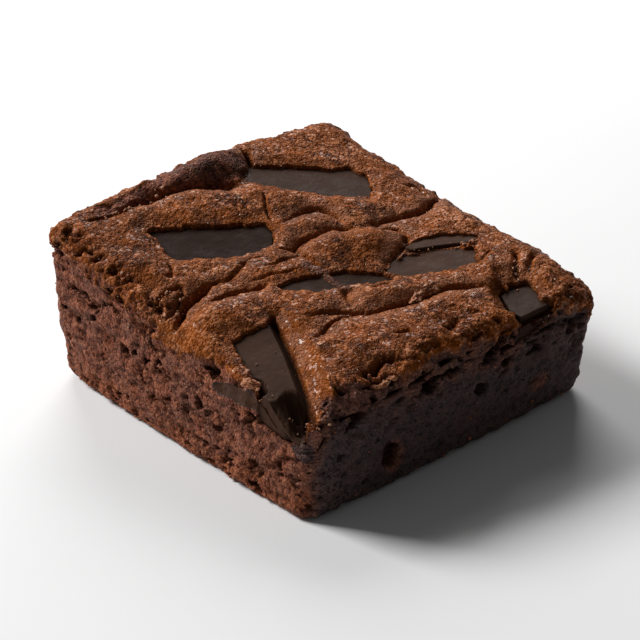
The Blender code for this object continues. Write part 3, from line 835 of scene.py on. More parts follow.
# How much cloudy bloom each slab shows; the amounts also stand for the sheen each slab catches, painted in, none
# on the left slab.
SLAB_BLOOM_AND_SHEEN = {
    "chunk_back": 0.68, "chunk_left": 0.0, "chunk_centre": 0.3, "chunk_right": 0.95,
    "chunk_right_chip": 1.0, "chunk_front": 0.75, "chunk_edge": 0.4}
# The knife's planes through the front slab and the edge slab.
FRONT_CUT = -32.1
RIGHT_CUT = 33.9
# The front slab: a bevelled flank along its right edge, and what broke off at the knife's cut.
FRONT_FLANK = 1.25
FRONT_SCOOP = ((25.6, -28.6), (2.6, 1.6), -25.0, 0.9)
# The broken facet behind the cut starts at this line, places along y and their x, and falls
# towards the corner with this slope, but no deeper than this.
FRONT_BREAK = ((-33.0, -31.4, -28.6, -27.2, -26.2), (22.4, 23.2, 22.8, 24.4, 27.6))
FRONT_BREAK_SLOPE = 0.62
FRONT_BREAK_DEEPEST = 4.0
# How far the wall goes in under the slab towards the front corner.
FRONT_TUCK = 4.5
FRONT_NOTCH = ((18.4, -31.9), (2.6, 2.2), 12.0, 2.6)


def broken_off(plan):
    """How deep the front slab broke away towards the front corner."""
    into = np.maximum(0.0, plan[:, 0] - np.interp(plan[:, 1], *FRONT_BREAK))
    return np.minimum(0.35 * smoothstep(0.0, 0.6, into) + FRONT_BREAK_SLOPE * into, FRONT_BREAK_DEEPEST)


def even_outline(points, count):
    """The outline as evenly spaced points, with its corners blurred round."""
    closed = np.vstack([points, points[:1]])
    lengths = np.hypot(*(closed[1:] - closed[:-1]).T)
    stations = np.concatenate([[0.0], np.cumsum(lengths)])
    wanted = np.arange(count) / count * stations[-1]
    even = np.column_stack([np.interp(wanted, stations, closed[:, axis]) for axis in (0, 1)])
    reach = range(-SLAB_CORNER_BLUR // 2, SLAB_CORNER_BLUR // 2 + 1)
    return np.mean([np.roll(even, step, axis=0) for step in reach], axis=0)


def slab_mesh(name):
    """A closed disc with rings on top and rows of wall below, one unit apart."""
    bm = bmesh.new()
    bmesh.ops.create_circle(bm, cap_ends=True, cap_tris=True, segments=SLAB_STEPS_AROUND, radius=1.0)
    spokes = [edge for edge in bm.edges if not edge.is_boundary]
    bmesh.ops.subdivide_edges(bm, edges=spokes, cuts=SLAB_RINGS - 1)
    edges = [edge for edge in bm.edges if edge.is_boundary]
    for _row in range(SLAB_WALL_ROWS):
        made = bmesh.ops.extrude_edge_only(bm, edges=edges)["geom"]
        verts = [item for item in made if isinstance(item, bmesh.types.BMVert)]
        bmesh.ops.translate(bm, verts=verts, vec=(0.0, 0.0, -1.0))
        edges = [item for item in made if isinstance(item, bmesh.types.BMEdge)
                 and abs(item.verts[0].co.z - item.verts[1].co.z) < 0.5]
    bmesh.ops.holes_fill(bm, edges=edges, sides=0)
    bmesh.ops.recalc_face_normals(bm, faces=bm.faces)
    mesh = bpy.data.meshes.new(name)
    bm.to_mesh(mesh)
    bm.free()
    return mesh


def build_slab(name):
    """One slab of chocolate: flat, slightly wavy top, rounded rim and rough walls."""
    _sink, thickness, spread, outline = SLABS[name]
    mesh = slab_mesh(name + "_chocolate")
    disc = read_places(mesh)
    reach = np.hypot(disc[:, 0], disc[:, 1])
    turn = np.mod(np.arctan2(disc[:, 1], disc[:, 0]) / (2.0 * math.pi), 1.0)
    points = np.array(outline, float)
    area = np.cross(points, np.roll(points, -1, axis=0)).sum()
    if area < 0:
        points = points[::-1]
    rim = even_outline(points, SLAB_STEPS_AROUND)
    ahead = np.roll(rim, -1, axis=0) - np.roll(rim, 1, axis=0)
    out = np.column_stack([ahead[:, 1], -ahead[:, 0]])
    out /= np.maximum(np.hypot(*out.T), 1e-9)[:, None]
    rim += SLAB_SWELL * out
    place = np.mod(np.round(turn * SLAB_STEPS_AROUND).astype(int), SLAB_STEPS_AROUND)
    middle = rim.mean(axis=0)
    # Rings crowd towards the rim, so that its rounding is smooth.
    share = 1.0 - (1.0 - np.minimum(reach, 1.0)) ** 1.6
    plan = middle + (rim[place] - middle) * share[:, None]
    down = -disc[:, 2] / SLAB_WALL_ROWS
    plan = plan + out[place] * (spread * down)[:, None]
    level = slab_level(name)(plan[:, 0], plan[:, 1])
    flat = np.column_stack([plan, np.zeros(len(plan))])
    away = SLAB_SWELL - outline_distance(plan, outline)
    away = np.where(down > 0, 0.0, np.maximum(away, 0.0))
    z = level - SLAB_RIM_RADIUS * quarter_round(away, SLAB_RIM_RADIUS)
    z += 0.07 * noise(flat, 5.0, 81) + 0.03 * noise(flat, 1.6, 82)
    if name == "chunk_front":
        flank = np.array(outline[1:5], float)
        gap, _share = near_route(plan, flank)
        sunk = np.maximum(0.0, FRONT_FLANK - gap) * 1.3
        middle_at, half, angle, depth = FRONT_SCOOP
        sunk += depth * np.maximum(0.0, 1.0 - oval(plan, middle_at, half, angle))
        middle_at, half, angle, depth = FRONT_NOTCH
        sunk += depth * np.sqrt(np.maximum(0.0, 1.0 - oval(plan, middle_at, half, angle)))
        jag = 0.45 * noise(flat * (0.4, 1.0, 1.0), 1.5, 85)
        broken = broken_off(plan + np.column_stack([jag, jag]))
        ribs = 0.3 * noise(flat * (0.3, 1.0, 1.0), 1.1, 86) + 0.2 * noise(flat, 0.8, 87)
        sunk += broken + ribs * np.minimum(broken, 1.0)
        z -= np.minimum(sunk, FRONT_BREAK_DEEPEST + 0.3)
        wall = np.minimum(level - down * (thickness - 1.0), z - 0.1 * down)
        z = np.where(down > 0, wall, z)
    else:
        z -= down * (thickness - 1.0)
    points = np.column_stack([plan, z])
    stripes = np.column_stack([plan, z * 0.12])
    rough = 0.12 * noise(stripes, 0.9, 83) + 0.1 * noise(points, 1.6, 84)
    points[:, :2] += out[place] * (rough * smoothstep(0.0, 0.2, down))[:, None]
    if name == "chunk_front":
        points[:, 1] = np.maximum(points[:, 1], FRONT_CUT + 0.5 * rough)
        points[:, 1] += FRONT_TUCK * smoothstep(26.5, 30.5, points[:, 0]) * down
    elif name == "chunk_edge":
        points[:, 0] = np.minimum(points[:, 0], RIGHT_CUT + 0.5 * rough)
    mesh.vertices.foreach_set("co", (points * MM).ravel())
    mask = mesh.attributes.new("cut", "FLOAT", "POINT")
    mask.data.foreach_set("value", smoothstep(0.0, 0.15, down).astype(np.float32))
    bloom_and_sheen_share = mesh.attributes.new("bloom", "FLOAT", "POINT")
    bloom_and_sheen_share.data.foreach_set("value", np.full(len(points), SLAB_BLOOM_AND_SHEEN[name], np.float32))
    mesh.shade_smooth()
    mesh.update()
    slab = bpy.data.objects.new(name + "_chocolate", mesh)
    bpy.context.scene.collection.objects.link(slab)
    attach(slab, "root")
    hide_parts(name)
    return slab


# ---------------------------------------------------------------- materials

def add_node(tree, kind, **settings):
    """A node; settings that name an input set or link it, and the others are the node's own."""
    node = tree.nodes.new(kind)
    for key, value in settings.items():
        if hasattr(node, key) and key not in node.inputs:
            setattr(node, key, value)
    for key, value in settings.items():
        label = key.replace("_", " ")
        found = [socket for socket in node.inputs if socket.name == label or socket.name == key]
        if found and not (hasattr(node, key) and key not in node.inputs):
            join(tree, value, found[0])
    return node


def join(tree, value, socket):
    """Link a socket to an input, or set the input to a plain value."""
    if isinstance(value, bpy.types.NodeSocket):
        tree.links.new(value, socket)
    elif socket.type == "RGBA" and len(value) == 3:
        socket.default_value = (*value, 1.0)
    else:
        socket.default_value = value


def maths(tree, operation, first, second=0.0, clamp=False):
    """A Math node's result."""
    node = tree.nodes.new("ShaderNodeMath")
    node.operation = operation
    node.use_clamp = clamp
    join(tree, first, node.inputs[0])
    join(tree, second, node.inputs[1])
    return node.outputs[0]


def blend(tree, share, first, second, mode="MIX"):
    """Mix two colours by a share."""
    node = tree.nodes.new("ShaderNodeMix")
    node.data_type = "RGBA"
    node.blend_type = mode
    join(tree, share, node.inputs[0])
    join(tree, first, node.inputs[6])
    join(tree, second, node.inputs[7])
    return node.outputs[2]


def spread(tree, value, low, high, to_low=0.0, to_high=1.0):
    """Map a value's range to another, smoothly and without going past its ends."""
    node = tree.nodes.new("ShaderNodeMapRange")
    node.interpolation_type = "SMOOTHSTEP"
    for socket, number in zip(node.inputs, (value, low, high, to_low, to_high)):
        join(tree, number, socket)
    return node.outputs[0]


def mask(tree, name):
    """A surface mask that the piece carries on its points."""
    node = tree.nodes.new("ShaderNodeAttribute")
    node.attribute_name = name
    return node.outputs["Fac"]


def speckle(tree, place, size, detail=2.0):
    """Noise with lumps of about that size in metres."""
    node = tree.nodes.new("ShaderNodeTexNoise")
    tree.links.new(place, node.inputs["Vector"])
    node.inputs["Scale"].default_value = 1.0 / size
    node.inputs["Detail"].default_value = detail
    node.inputs["Roughness"].default_value = 0.6
    return node.outputs["Fac"]


def new_group(name, inputs, outputs):
    """A shader node group with its sockets, and the nodes that stand for them."""
    group = bpy.data.node_groups.new(name, "ShaderNodeTree")
    for socket, kind, default in inputs:
        made = group.interface.new_socket(name=socket, in_out="INPUT", socket_type=kind)
        if default is not None:
            made.default_value = default
    for socket, kind in outputs:
        group.interface.new_socket(name=socket, in_out="OUTPUT", socket_type=kind)
    return group, group.nodes.new("NodeGroupInput"), group.nodes.new("NodeGroupOutput")


def grain_group():
    """Fine baked grain: bump height, dark gaps that are partly painted shade, a tint for each grain, flecks,
    broad patches, pits and painted glints.
    """
    group, given, result = new_group(
        "fine_grain",
        (("Place", "NodeSocketVector", None), ("Coarseness", "NodeSocketFloat", 1.0)),
        [(name, "NodeSocketFloat") for name in (
            "Height", "GapsAndShade", "Tint", "Flecks", "Patches", "Pits", "PaintedGlints")])
    scaled = group.nodes.new("ShaderNodeVectorMath")
    scaled.operation = "SCALE"
    group.links.new(given.outputs["Place"], scaled.inputs[0])
    group.links.new(given.outputs["Coarseness"], scaled.inputs["Scale"])
    place = scaled.outputs[0]
    wobble = group.nodes.new("ShaderNodeTexNoise")
    wobble.inputs["Scale"].default_value = 1.0 / 0.0007
    group.links.new(place, wobble.inputs["Vector"])
    shifted = group.nodes.new("ShaderNodeVectorMath")
    shifted.operation = "MULTIPLY_ADD"
    group.links.new(wobble.outputs["Color"], shifted.inputs[0])
    shifted.inputs[1].default_value = (0.00045, 0.00045, 0.00045)
    group.links.new(place, shifted.inputs[2])
    cells = []
    for size in (0.0005, 0.00026, 0.0009):
        node = group.nodes.new("ShaderNodeTexVoronoi")
        node.inputs["Scale"].default_value = 1.0 / size
        group.links.new(shifted.outputs[0], node.inputs["Vector"])
        cells.append(node)
    large, small = (maths(group, "POWER", node.outputs["Distance"], 2.0) for node in cells[:2])
    domes_sum = maths(group, "ADD", maths(group, "MULTIPLY", large, -0.9), maths(group, "MULTIPLY", small, -0.4))
    fine = speckle(group, place, 0.0002, 2.0)
    height = maths(group, "ADD", maths(group, "ADD", domes_sum, 1.0), maths(group, "MULTIPLY", fine, 0.35))
    picked = group.nodes.new("ShaderNodeSeparateColor")
    group.links.new(cells[2].outputs["Color"], picked.inputs[0])
    pits = spread(group, cells[2].outputs["Distance"], 0.12, 0.34, 1.0, 0.0)
    pits = maths(group, "MULTIPLY", pits, spread(group, picked.outputs[0], 0.5, 0.6))
    gaps_and_shade = spread(group, maths(group, "ADD", large, maths(group, "MULTIPLY", small, 0.4)), 0.25, 0.65)
    tint = group.nodes.new("ShaderNodeSeparateColor")
    group.links.new(cells[0].outputs["Color"], tint.inputs[0])
    flecks = spread(group, speckle(group, place, 0.00055, 3.0), 0.56, 0.74)
    patches = spread(group, speckle(group, place, 0.006, 4.0), 0.35, 0.65)
    # Painted glints: a few grains on the larger domes are picked to turn golden.
    painted_glints = maths(
        group, "MULTIPLY", spread(group, tint.outputs[1], 0.9, 0.95), spread(group, large, 0.05, 0.2, 1.0, 0.0))
    found = {
        "Height": height, "GapsAndShade": gaps_and_shade, "Tint": tint.outputs[0], "Flecks": flecks, "Patches": patches,
        "Pits": pits, "PaintedGlints": painted_glints}
    for name, socket in found.items():
        group.links.new(socket, result.inputs[name])
    return group


def place_group(tree, group, **values):
    """Put a node group in a material with its own values."""
    node = tree.nodes.new("ShaderNodeGroup")
    node.node_tree = group
    for key, value in values.items():
        join(tree, value, node.inputs[key])
    return node


def new_material(name):
    """An empty Principled material: its tree, shader and Object coordinates."""
    material = bpy.data.materials.new(name)
    material.use_nodes = True
    tree = material.node_tree
    shader = tree.nodes["Principled BSDF"]
    place = tree.nodes.new("ShaderNodeTexCoord").outputs["Object"]
    return material, tree, shader, place


def cake_material(colours, grain):
    """Crust, crumb and dragged chocolate in one finish, told apart by the pieces' masks, with painted shade,
    sheen, glints and glow in the colour.
    """
    material, tree, shader, place = new_material("baked_cake")
    fine = place_group(tree, grain, Place=place, Coarseness=1.0)
    flecks, patches = fine.outputs["Flecks"], fine.outputs["Patches"]
    crust, hollow_shade, smear_and_side_shade, skin, tone, dark_patches_and_sheen, foot, slope_glow = (
        mask(tree, name) for name in ("crust", "hollow_shade", "smear_and_side_shade", "skin", "tone", "dark_patches_and_sheen", "foot", "slope_glow"))
    pits = maths(tree, "MULTIPLY", fine.outputs["Pits"], spread(tree, crust, 0.0, 1.0, 0.9, 0.25))
    speck = spread(tree, fine.outputs["Tint"], 0.0, 1.0, -0.2, 0.26)
    # Gaps between grains are darkened, partly painted shade.
    gaps_and_shade = maths(tree, "MULTIPLY", fine.outputs["GapsAndShade"], -0.36)
    detail = maths(tree, "MULTIPLY", maths(tree, "ADD", speck, gaps_and_shade), spread(tree, crust, 0.0, 1.0, 0.6, 1.0))
    relief = maths(tree, "ADD", tone, detail)
    relief = maths(tree, "SUBTRACT", relief, maths(tree, "MULTIPLY", dark_patches_and_sheen, 0.35))
    mottle = spread(tree, speckle(tree, place, 0.0024, 4.0), 0.45, 0.65, -0.06, 0.42)
    relief = maths(tree, "SUBTRACT", relief, maths(tree, "MULTIPLY", mottle, crust))
    # Low relief takes the gap colours and high relief the grain colours: partly real colour, partly painted
    # shade and highlight.
    low = spread(tree, relief, 0.08, 0.6)
    high = spread(tree, relief, 0.5, 0.95)
    dull = spread(tree, speckle(tree, place, 0.0035, 3.0), 0.42, 0.62)

    toasted = blend(tree, low, colours.crust_dark, colours.crust)
    toasted = blend(tree, maths(tree, "MULTIPLY", high, 0.75), toasted, colours.crust_light)
    toasted = blend(tree, maths(tree, "MULTIPLY", patches, 0.45), toasted, colours.crust_warm)
    toasted = blend(tree, maths(tree, "MULTIPLY", flecks, 0.28), toasted, colours.crust_light)
    # Painted glow on steep slopes.
    toasted = blend(tree, maths(tree, "MULTIPLY", slope_glow, 0.4), toasted, colours.crust_warm)
    # Painted sheen: stretched skin takes the lighter, greyer skin colour.
    toasted = blend(tree, maths(tree, "MULTIPLY", skin, 0.5), toasted, colours.skin)
    # Painted sheen: below 0 the patches blend the crust towards the skin colour.
    pale = maths(tree, "MULTIPLY", dark_patches_and_sheen, -0.7, clamp=True)
    toasted = blend(tree, maths(tree, "MULTIPLY", pale, flecks), toasted, colours.skin)
    inside = blend(tree, low, colours.crumb_dark, colours.crumb)
    inside = blend(tree, maths(tree, "MULTIPLY", high, 0.7), inside, colours.crumb_light)
    inside = blend(tree, maths(tree, "MULTIPLY", flecks, 0.35), inside, colours.crumb_warm)
    inside = blend(tree, maths(tree, "MULTIPLY", dull, 0.5), inside, colours.crumb_dull)
    baked = maths(tree, "MULTIPLY", foot, spread(tree, fine.outputs["Tint"], 0.2, 0.9, 0.05, 0.7))
    inside = blend(tree, baked, inside, colours.crumb_warm)
    colour = blend(tree, crust, inside, toasted)
    # The smear colour is dragged chocolate and, over the right side, painted shade.
    dragged = blend(tree, low, colours.smear_and_side_shade, colours.smear_light)
    first = maths(tree, "MULTIPLY", maths(tree, "MINIMUM", smear_and_side_shade, 1.0), 0.9)
    colour = blend(tree, first, colour, dragged)
    second = maths(tree, "SUBTRACT", smear_and_side_shade, 1.0, clamp=True)
    colour = blend(tree, second, colour, colours.bloom)
    # Above 0 the patches make the colour darker.
    darker = maths(tree, "MULTIPLY", dark_patches_and_sheen, 0.55, clamp=True)
    colour = blend(tree, darker, colour, colours.crust_dark)
    # Painted glints: the picked grains turn golden, fewer on smeared chocolate.
    glint_paint = maths(tree, "MULTIPLY", fine.outputs["PaintedGlints"], spread(tree, smear_and_side_shade, 0.0, 1.0, 0.8, 0.12))
    colour = blend(tree, glint_paint, colour, colours.golden)
    # Painted shade: hollows and crust pits turn towards the near-black shade colour.
    deep = maths(tree, "MAXIMUM", hollow_shade, maths(tree, "MULTIPLY", pits, 0.8))
    colour = blend(tree, maths(tree, "MULTIPLY", deep, 0.85), colour, colours.hollow_shade)
    tree.links.new(colour, shader.inputs["Base Color"])

    rough = spread(tree, speckle(tree, place, 0.0008, 2.0), 0.3, 0.7, 0.34, 0.6)
    tree.links.new(rough, shader.inputs["Roughness"])
    shader.inputs["Specular IOR Level"].default_value = 0.05
    shader.inputs["Specular Tint"].default_value = (1.0, 0.55, 0.32, 1.0)
    shiny = maths(tree, "MULTIPLY", maths(tree, "ADD", skin, pale), 0.15)
    shiny = maths(tree, "ADD", shiny, 0.25, clamp=True)
    wet = maths(tree, "MULTIPLY", spread(tree, fine.outputs["Tint"], 0.76, 0.92), shiny)
    wet = maths(tree, "MULTIPLY", wet, spread(tree, crust, 0.0, 1.0, 0.25, 1.0))
    tree.links.new(wet, shader.inputs["Coat Weight"])
    shader.inputs["Coat Roughness"].default_value = 0.23
    bump = tree.nodes.new("ShaderNodeBump")
    tree.links.new(maths(tree, "SUBTRACT", 1.0, maths(tree, "MULTIPLY", second, 0.85)), bump.inputs["Strength"])
    bump.inputs["Distance"].default_value = 0.0003
    relief = maths(tree, "SUBTRACT", fine.outputs["Height"], pits)
    tree.links.new(relief, bump.inputs["Height"])
    tree.links.new(bump.outputs["Normal"], shader.inputs["Normal"])
    return material


def chocolate_material(colours, grain):
    """Satin dark chocolate with a cloudy bloom, a fine grain and crumb dust."""
    material, tree, shader, place = new_material("dark_chocolate")
    fine = place_group(tree, grain, Place=place, Coarseness=0.5)
    cut = mask(tree, "cut")
    # The bloom amount also paints each slab's sheen.
    cloud = spread(tree, speckle(tree, place, 0.006, 3.0), 0.3, 0.7, 0.6, 1.0)
    cloud = maths(tree, "MULTIPLY", cloud, mask(tree, "bloom"))
    colour = blend(tree, cloud, colours.chocolate, colours.bloom)
    dust = maths(tree, "MULTIPLY", spread(tree, speckle(tree, place, 0.0007, 3.0), 0.68, 0.8), 0.5)
    colour = blend(tree, dust, colour, colours.crust)
    tree.links.new(colour, shader.inputs["Base Color"])
    rough = spread(tree, speckle(tree, place, 0.003, 4.0), 0.3, 0.7, 0.46, 0.6)
    tree.links.new(rough, shader.inputs["Roughness"])
    shader.inputs["Specular IOR Level"].default_value = 0.04
    shader.inputs["Specular Tint"].default_value = (1.0, 0.65, 0.55, 1.0)
    bump = tree.nodes.new("ShaderNodeBump")
    bump.inputs["Strength"].default_value = 0.3
    bump.inputs["Distance"].default_value = 0.0001
    tree.links.new(fine.outputs["Height"], bump.inputs["Height"])
    tree.links.new(bump.outputs["Normal"], shader.inputs["Normal"])
    return material


def crumb_material(name, colour, grain, roughness, gloss):
    """Loose crumbs or sugar grains, each a little lighter or darker than the next."""
    material, tree, shader, place = new_material(name)
    fine = place_group(tree, grain, Place=place, Coarseness=0.6)
    deep = tuple(part * part * 1.4 for part in colour[:3])
    tone = blend(tree, maths(tree, "MULTIPLY", fine.outputs["Tint"], 0.8), colour, deep)
    tree.links.new(tone, shader.inputs["Base Color"])
    shader.inputs["Roughness"].default_value = roughness
    shader.inputs["Specular IOR Level"].default_value = gloss
    bump = tree.nodes.new("ShaderNodeBump")
    bump.inputs["Distance"].default_value = 0.00008
    tree.links.new(fine.outputs["Height"], bump.inputs["Height"])
    tree.links.new(bump.outputs["Normal"], shader.inputs["Normal"])
    return material


# ---------------------------------------------------------------- crumbs

# Where loose crumbs lie: route across the top, how many, how far they stray, smallest and
# largest size.
CRUMB_ROUTES = (
    (((11.9, 21.4), (12.6, 23.4), (13.4, 25.4)), 22, 0.9, 0.2, 0.8),
    (((9.6, 14.0), (10.8, 18.6)), 6, 0.25, 0.2, 0.4),
    (((15.6, -30.6), (18.0, -31.4), (20.0, -31.8)), 12, 0.6, 0.35, 1.0),
    (((22.0, -30.8), (26.5, -30.6), (30.2, -30.3)), 8, 1.6, 0.15, 0.4),
    (((13.0, -22.0), (22.0, -27.0)), 7, 4.5, 0.12, 0.3),
    (((31.0, -31.6), (32.6, -30.0), (33.0, -28.0)), 16, 0.9, 0.25, 0.8),
    (((-14.0, 6.0), (-9.0, 0.0), (-3.5, 9.0)), 12, 1.6, 0.25, 0.6),
    (((20.2, 4.2), (19.9, 7.0), (19.8, 9.6)), 14, 0.8, 0.4, 1.1),
    (((20.0, 29.0), (24.3, 25.1), (27.0, 22.7)), 14, 0.7, 0.25, 0.7),
    (((-29.9, -25.0), (-29.2, -13.1)), 30, 1.2, 0.3, 0.9),
    (((-9.0, -31.5), (-6.5, -27.0), (-3.0, -31.5)), 16, 0.8, 0.3, 0.9),
)
# Larger lumps: place, three sizes, turn.
LUMPS = (
    ((17.6, -31.7, 20.9), (2.8, 1.6, 1.7), 10.0),
    ((19.4, 6.3, 24.9), (2.2, 3.6, 1.3), 10.0),
    ((20.2, 4.2, 24.7), (1.8, 2.2, 1.1), 35.0),
    ((20.3, 8.3, 24.9), (1.5, 2.0, 1.1), -20.0),
    ((32.3, -16.2, 20.5), (1.1, 1.9, 0.9), -20.0),
    ((32.7, -14.7, 20.9), (1.0, 2.2, 0.9), 10.0),
    ((32.8, -12.9, 21.3), (1.2, 1.6, 0.8), -30.0),
)
SINK_SHARE = 0.2
TOP_SEARCH_LEVEL = 14.0


def add_grains(bm, places, sizes, level, rng):
    """Small irregular grains at places in millimetres."""
    for place, size in zip(places, sizes):
        made = bmesh.ops.create_icosphere(bm, subdivisions=level, radius=0.5 * size * MM)
        verts = made["verts"]
        bmesh.ops.scale(bm, verts=verts, vec=Vector(rng.uniform(0.6, 1.25, 3)))
        axis = Vector(rng.normal(size=3)).normalized()
        turn = Matrix.Rotation(rng.uniform(0.0, math.tau), 3, axis)
        bmesh.ops.rotate(bm, verts=verts, cent=(0.0, 0.0, 0.0), matrix=turn)
        for vert in verts:
            vert.co *= rng.uniform(0.7, 1.3)
        bmesh.ops.translate(bm, verts=verts, vec=Vector(place) * MM)
        for vert in verts:
            vert.co.z = max(vert.co.z, 0.0)


def finish_grains(bm, name, material):
    """Turn joined grains into one piece of the brownie."""
    bmesh.ops.recalc_face_normals(bm, faces=bm.faces)
    mesh = bpy.data.meshes.new(name)
    bm.to_mesh(mesh)
    bm.free()
    mesh.shade_smooth()
    mesh.materials.append(material)
    piece = bpy.data.objects.new(name, mesh)
    bpy.context.scene.collection.objects.link(piece)
    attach(piece, "root")
    return piece


def surface_points(*names):
    """All points of some pieces, in millimetres."""
    return np.vstack([read_places(bpy.data.objects[name].data) for name in names]) / MM


def drop_on(plan, surface):
    """Heights of the surface under each place across the top, or nan past its edge."""
    heights = []
    for spot in plan:
        close = ((surface[:, :2] - spot) ** 2).sum(axis=1) < 0.12
        heights.append(surface[close, 2].max() if close.any() else np.nan)
    return np.array(heights)


def build_route_crumbs(name, material, rng):
    """Golden and brown crumbs in the cracks, the notch and the gap between two slabs."""
    slabs = [slab + "_chocolate" for slab in SLABS]
    surface = surface_points("crust_top", *slabs)
    surface = surface[surface[:, 2] > TOP_SEARCH_LEVEL]
    bm = bmesh.new()
    for route, count, stray, smallest, largest in CRUMB_ROUTES:
        route = smooth_route(route)
        index = rng.integers(0, len(route), count)
        plan = route[index] + rng.normal(scale=stray * 0.5, size=(count, 2))
        sizes = smallest + (largest - smallest) * rng.uniform(size=count) ** 2
        heights = drop_on(plan, surface) + sizes * SINK_SHARE
        held = np.isfinite(heights)
        add_grains(bm, np.column_stack([plan, heights])[held], sizes[held], 1, rng)
    return finish_grains(bm, name, material)


def build_lumps(name, material):
    """The crumb lump in the front slab's notch, the torn flake and the flap at the right edge."""
    bm = bmesh.new()
    for seed, (place, sizes, turn) in enumerate(LUMPS):
        made = bmesh.ops.create_icosphere(bm, subdivisions=5, radius=0.5)
        verts = made["verts"]
        ball = np.array([vert.co for vert in verts])
        swell = 1.0 + 0.4 * layered(ball, 0.45, 10 * seed, gain=0.6) + 0.15 * domes(ball, 0.2, 91)
        ball = ball * swell[:, None] * sizes
        for vert, spot in zip(verts, ball):
            vert.co = Vector(spot) * MM
        matrix = Matrix.Rotation(math.radians(turn), 3, "Z")
        bmesh.ops.rotate(bm, verts=verts, cent=(0.0, 0.0, 0.0), matrix=matrix)
        bmesh.ops.translate(bm, verts=verts, vec=Vector(place) * MM)
    return finish_grains(bm, name, material)


def build_surface_grains(name, material, rng, rule, sizes, level=1):
    """Grains that cling to the cake wherever a rule picks its points."""
    picked = []
    for piece in ("crust_top", "crumb_front", "crumb_right", "crumb_left", "crumb_back"):
        mesh = bpy.data.objects[piece].data
        spots = read_places(mesh) / MM
        crust = np.empty(len(mesh.vertices), np.float32)
        mesh.attributes["crust"].data.foreach_get("value", crust)
        normals = np.empty(len(mesh.vertices) * 3, np.float32)
        mesh.vertices.foreach_get("normal", normals)
        chance = rule(piece, spots, crust)
        hidden = (np.abs(spots[:, :2]).max(axis=1) < HEART_HALF + 0.5) & (spots[:, 2] < HEART_HIGH + 1.0)
        chosen = (rng.uniform(size=len(spots)) < chance) & ~hidden
        picked.append(spots[chosen] + 0.06 * normals.reshape(-1, 3)[chosen])
    picked = np.vstack(picked)
    low, high = sizes
    bm = bmesh.new()
    grain_sizes = low + (high - low) * rng.uniform(size=len(picked)) ** 2
    add_grains(bm, picked, grain_sizes, level, rng)
    return finish_grains(bm, name, material)


# ---------------------------------------------------------------- stage

AIM_SIDEWAYS = -0.00021
AIM_HEIGHT = 0.01303
SENSOR_WIDTH = 36.0
FLOOR_HALF = 3.0
# Lights: place in metres, size in metres.
KEY_PLACE = (-0.8, -0.35, 0.62)
KEY_SIZE = 0.35
BACK_PLACE = (-0.6, 0.45, 0.5)
BACK_SIZE = 0.5


def add_light(scene, name, place, size, power):
    """A square soft light that faces the brownie."""
    light = bpy.data.lights.new(name, "AREA")
    light.size = size
    light.energy = power
    lamp = bpy.data.objects.new(name, light)
    lamp.location = place
    lamp.rotation_euler = Vector(place).to_track_quat("Z", "Y").to_euler()
    scene.collection.objects.link(lamp)


def build_stage(scene, studio):
    """A pale floor, two soft lights, an even fill and the camera."""
    bm = bmesh.new()
    bmesh.ops.create_grid(bm, x_segments=1, y_segments=1, size=FLOOR_HALF)
    mesh = bpy.data.meshes.new("floor")
    bm.to_mesh(mesh)
    bm.free()
    material, tree, shader, place = new_material("pale_floor")
    pale = tuple(studio.floor)
    shade = blend(tree, speckle(tree, place, 0.08, 2.0), pale, tuple(0.97 * part for part in pale))
    tree.links.new(shade, shader.inputs["Base Color"])
    shader.inputs["Roughness"].default_value = 0.8
    shader.inputs["Specular IOR Level"].default_value = 0.2
    mesh.materials.append(material)
    floor = bpy.data.objects.new("floor", mesh)
    scene.collection.objects.link(floor)

    add_light(scene, "key_light", KEY_PLACE, KEY_SIZE, studio.key_power)
    add_light(scene, "back_light", BACK_PLACE, BACK_SIZE, studio.back_power)
    world = bpy.data.worlds.new("studio")
    world.use_nodes = True
    background = world.node_tree.nodes["Background"]
    background.inputs["Color"].default_value = (1.0, 1.0, 1.0, 1.0)
    background.inputs["Strength"].default_value = studio.fill
    scene.world = world
    scene.view_settings.view_transform = "Standard"

    level = math.cos(studio.elevation)
    back = Vector((
        math.sin(studio.azimuth) * level, -math.cos(studio.azimuth) * level, math.sin(studio.elevation)))
    sideways = Vector((math.cos(studio.azimuth), math.sin(studio.azimuth), 0.0))
    target = AIM_SIDEWAYS * sideways + Vector((0.0, 0.0, AIM_HEIGHT))
    camera = bpy.data.objects.new("camera", bpy.data.cameras.new("camera"))
    camera.data.lens = studio.lens
    camera.data.sensor_width = SENSOR_WIDTH
    camera.location = target + back * studio.distance
    camera.rotation_euler = back.to_track_quat("Z", "Y").to_euler()
    scene.collection.objects.link(camera)
    scene.camera = camera


# ---------------------------------------------------------------- add-on

def colour_property(name, description, default):
    """A colour that a user may change."""
    return bpy.props.FloatVectorProperty(
        name=name, description=description, default=default, subtype="COLOR", size=3, min=0.0, max=1.0)


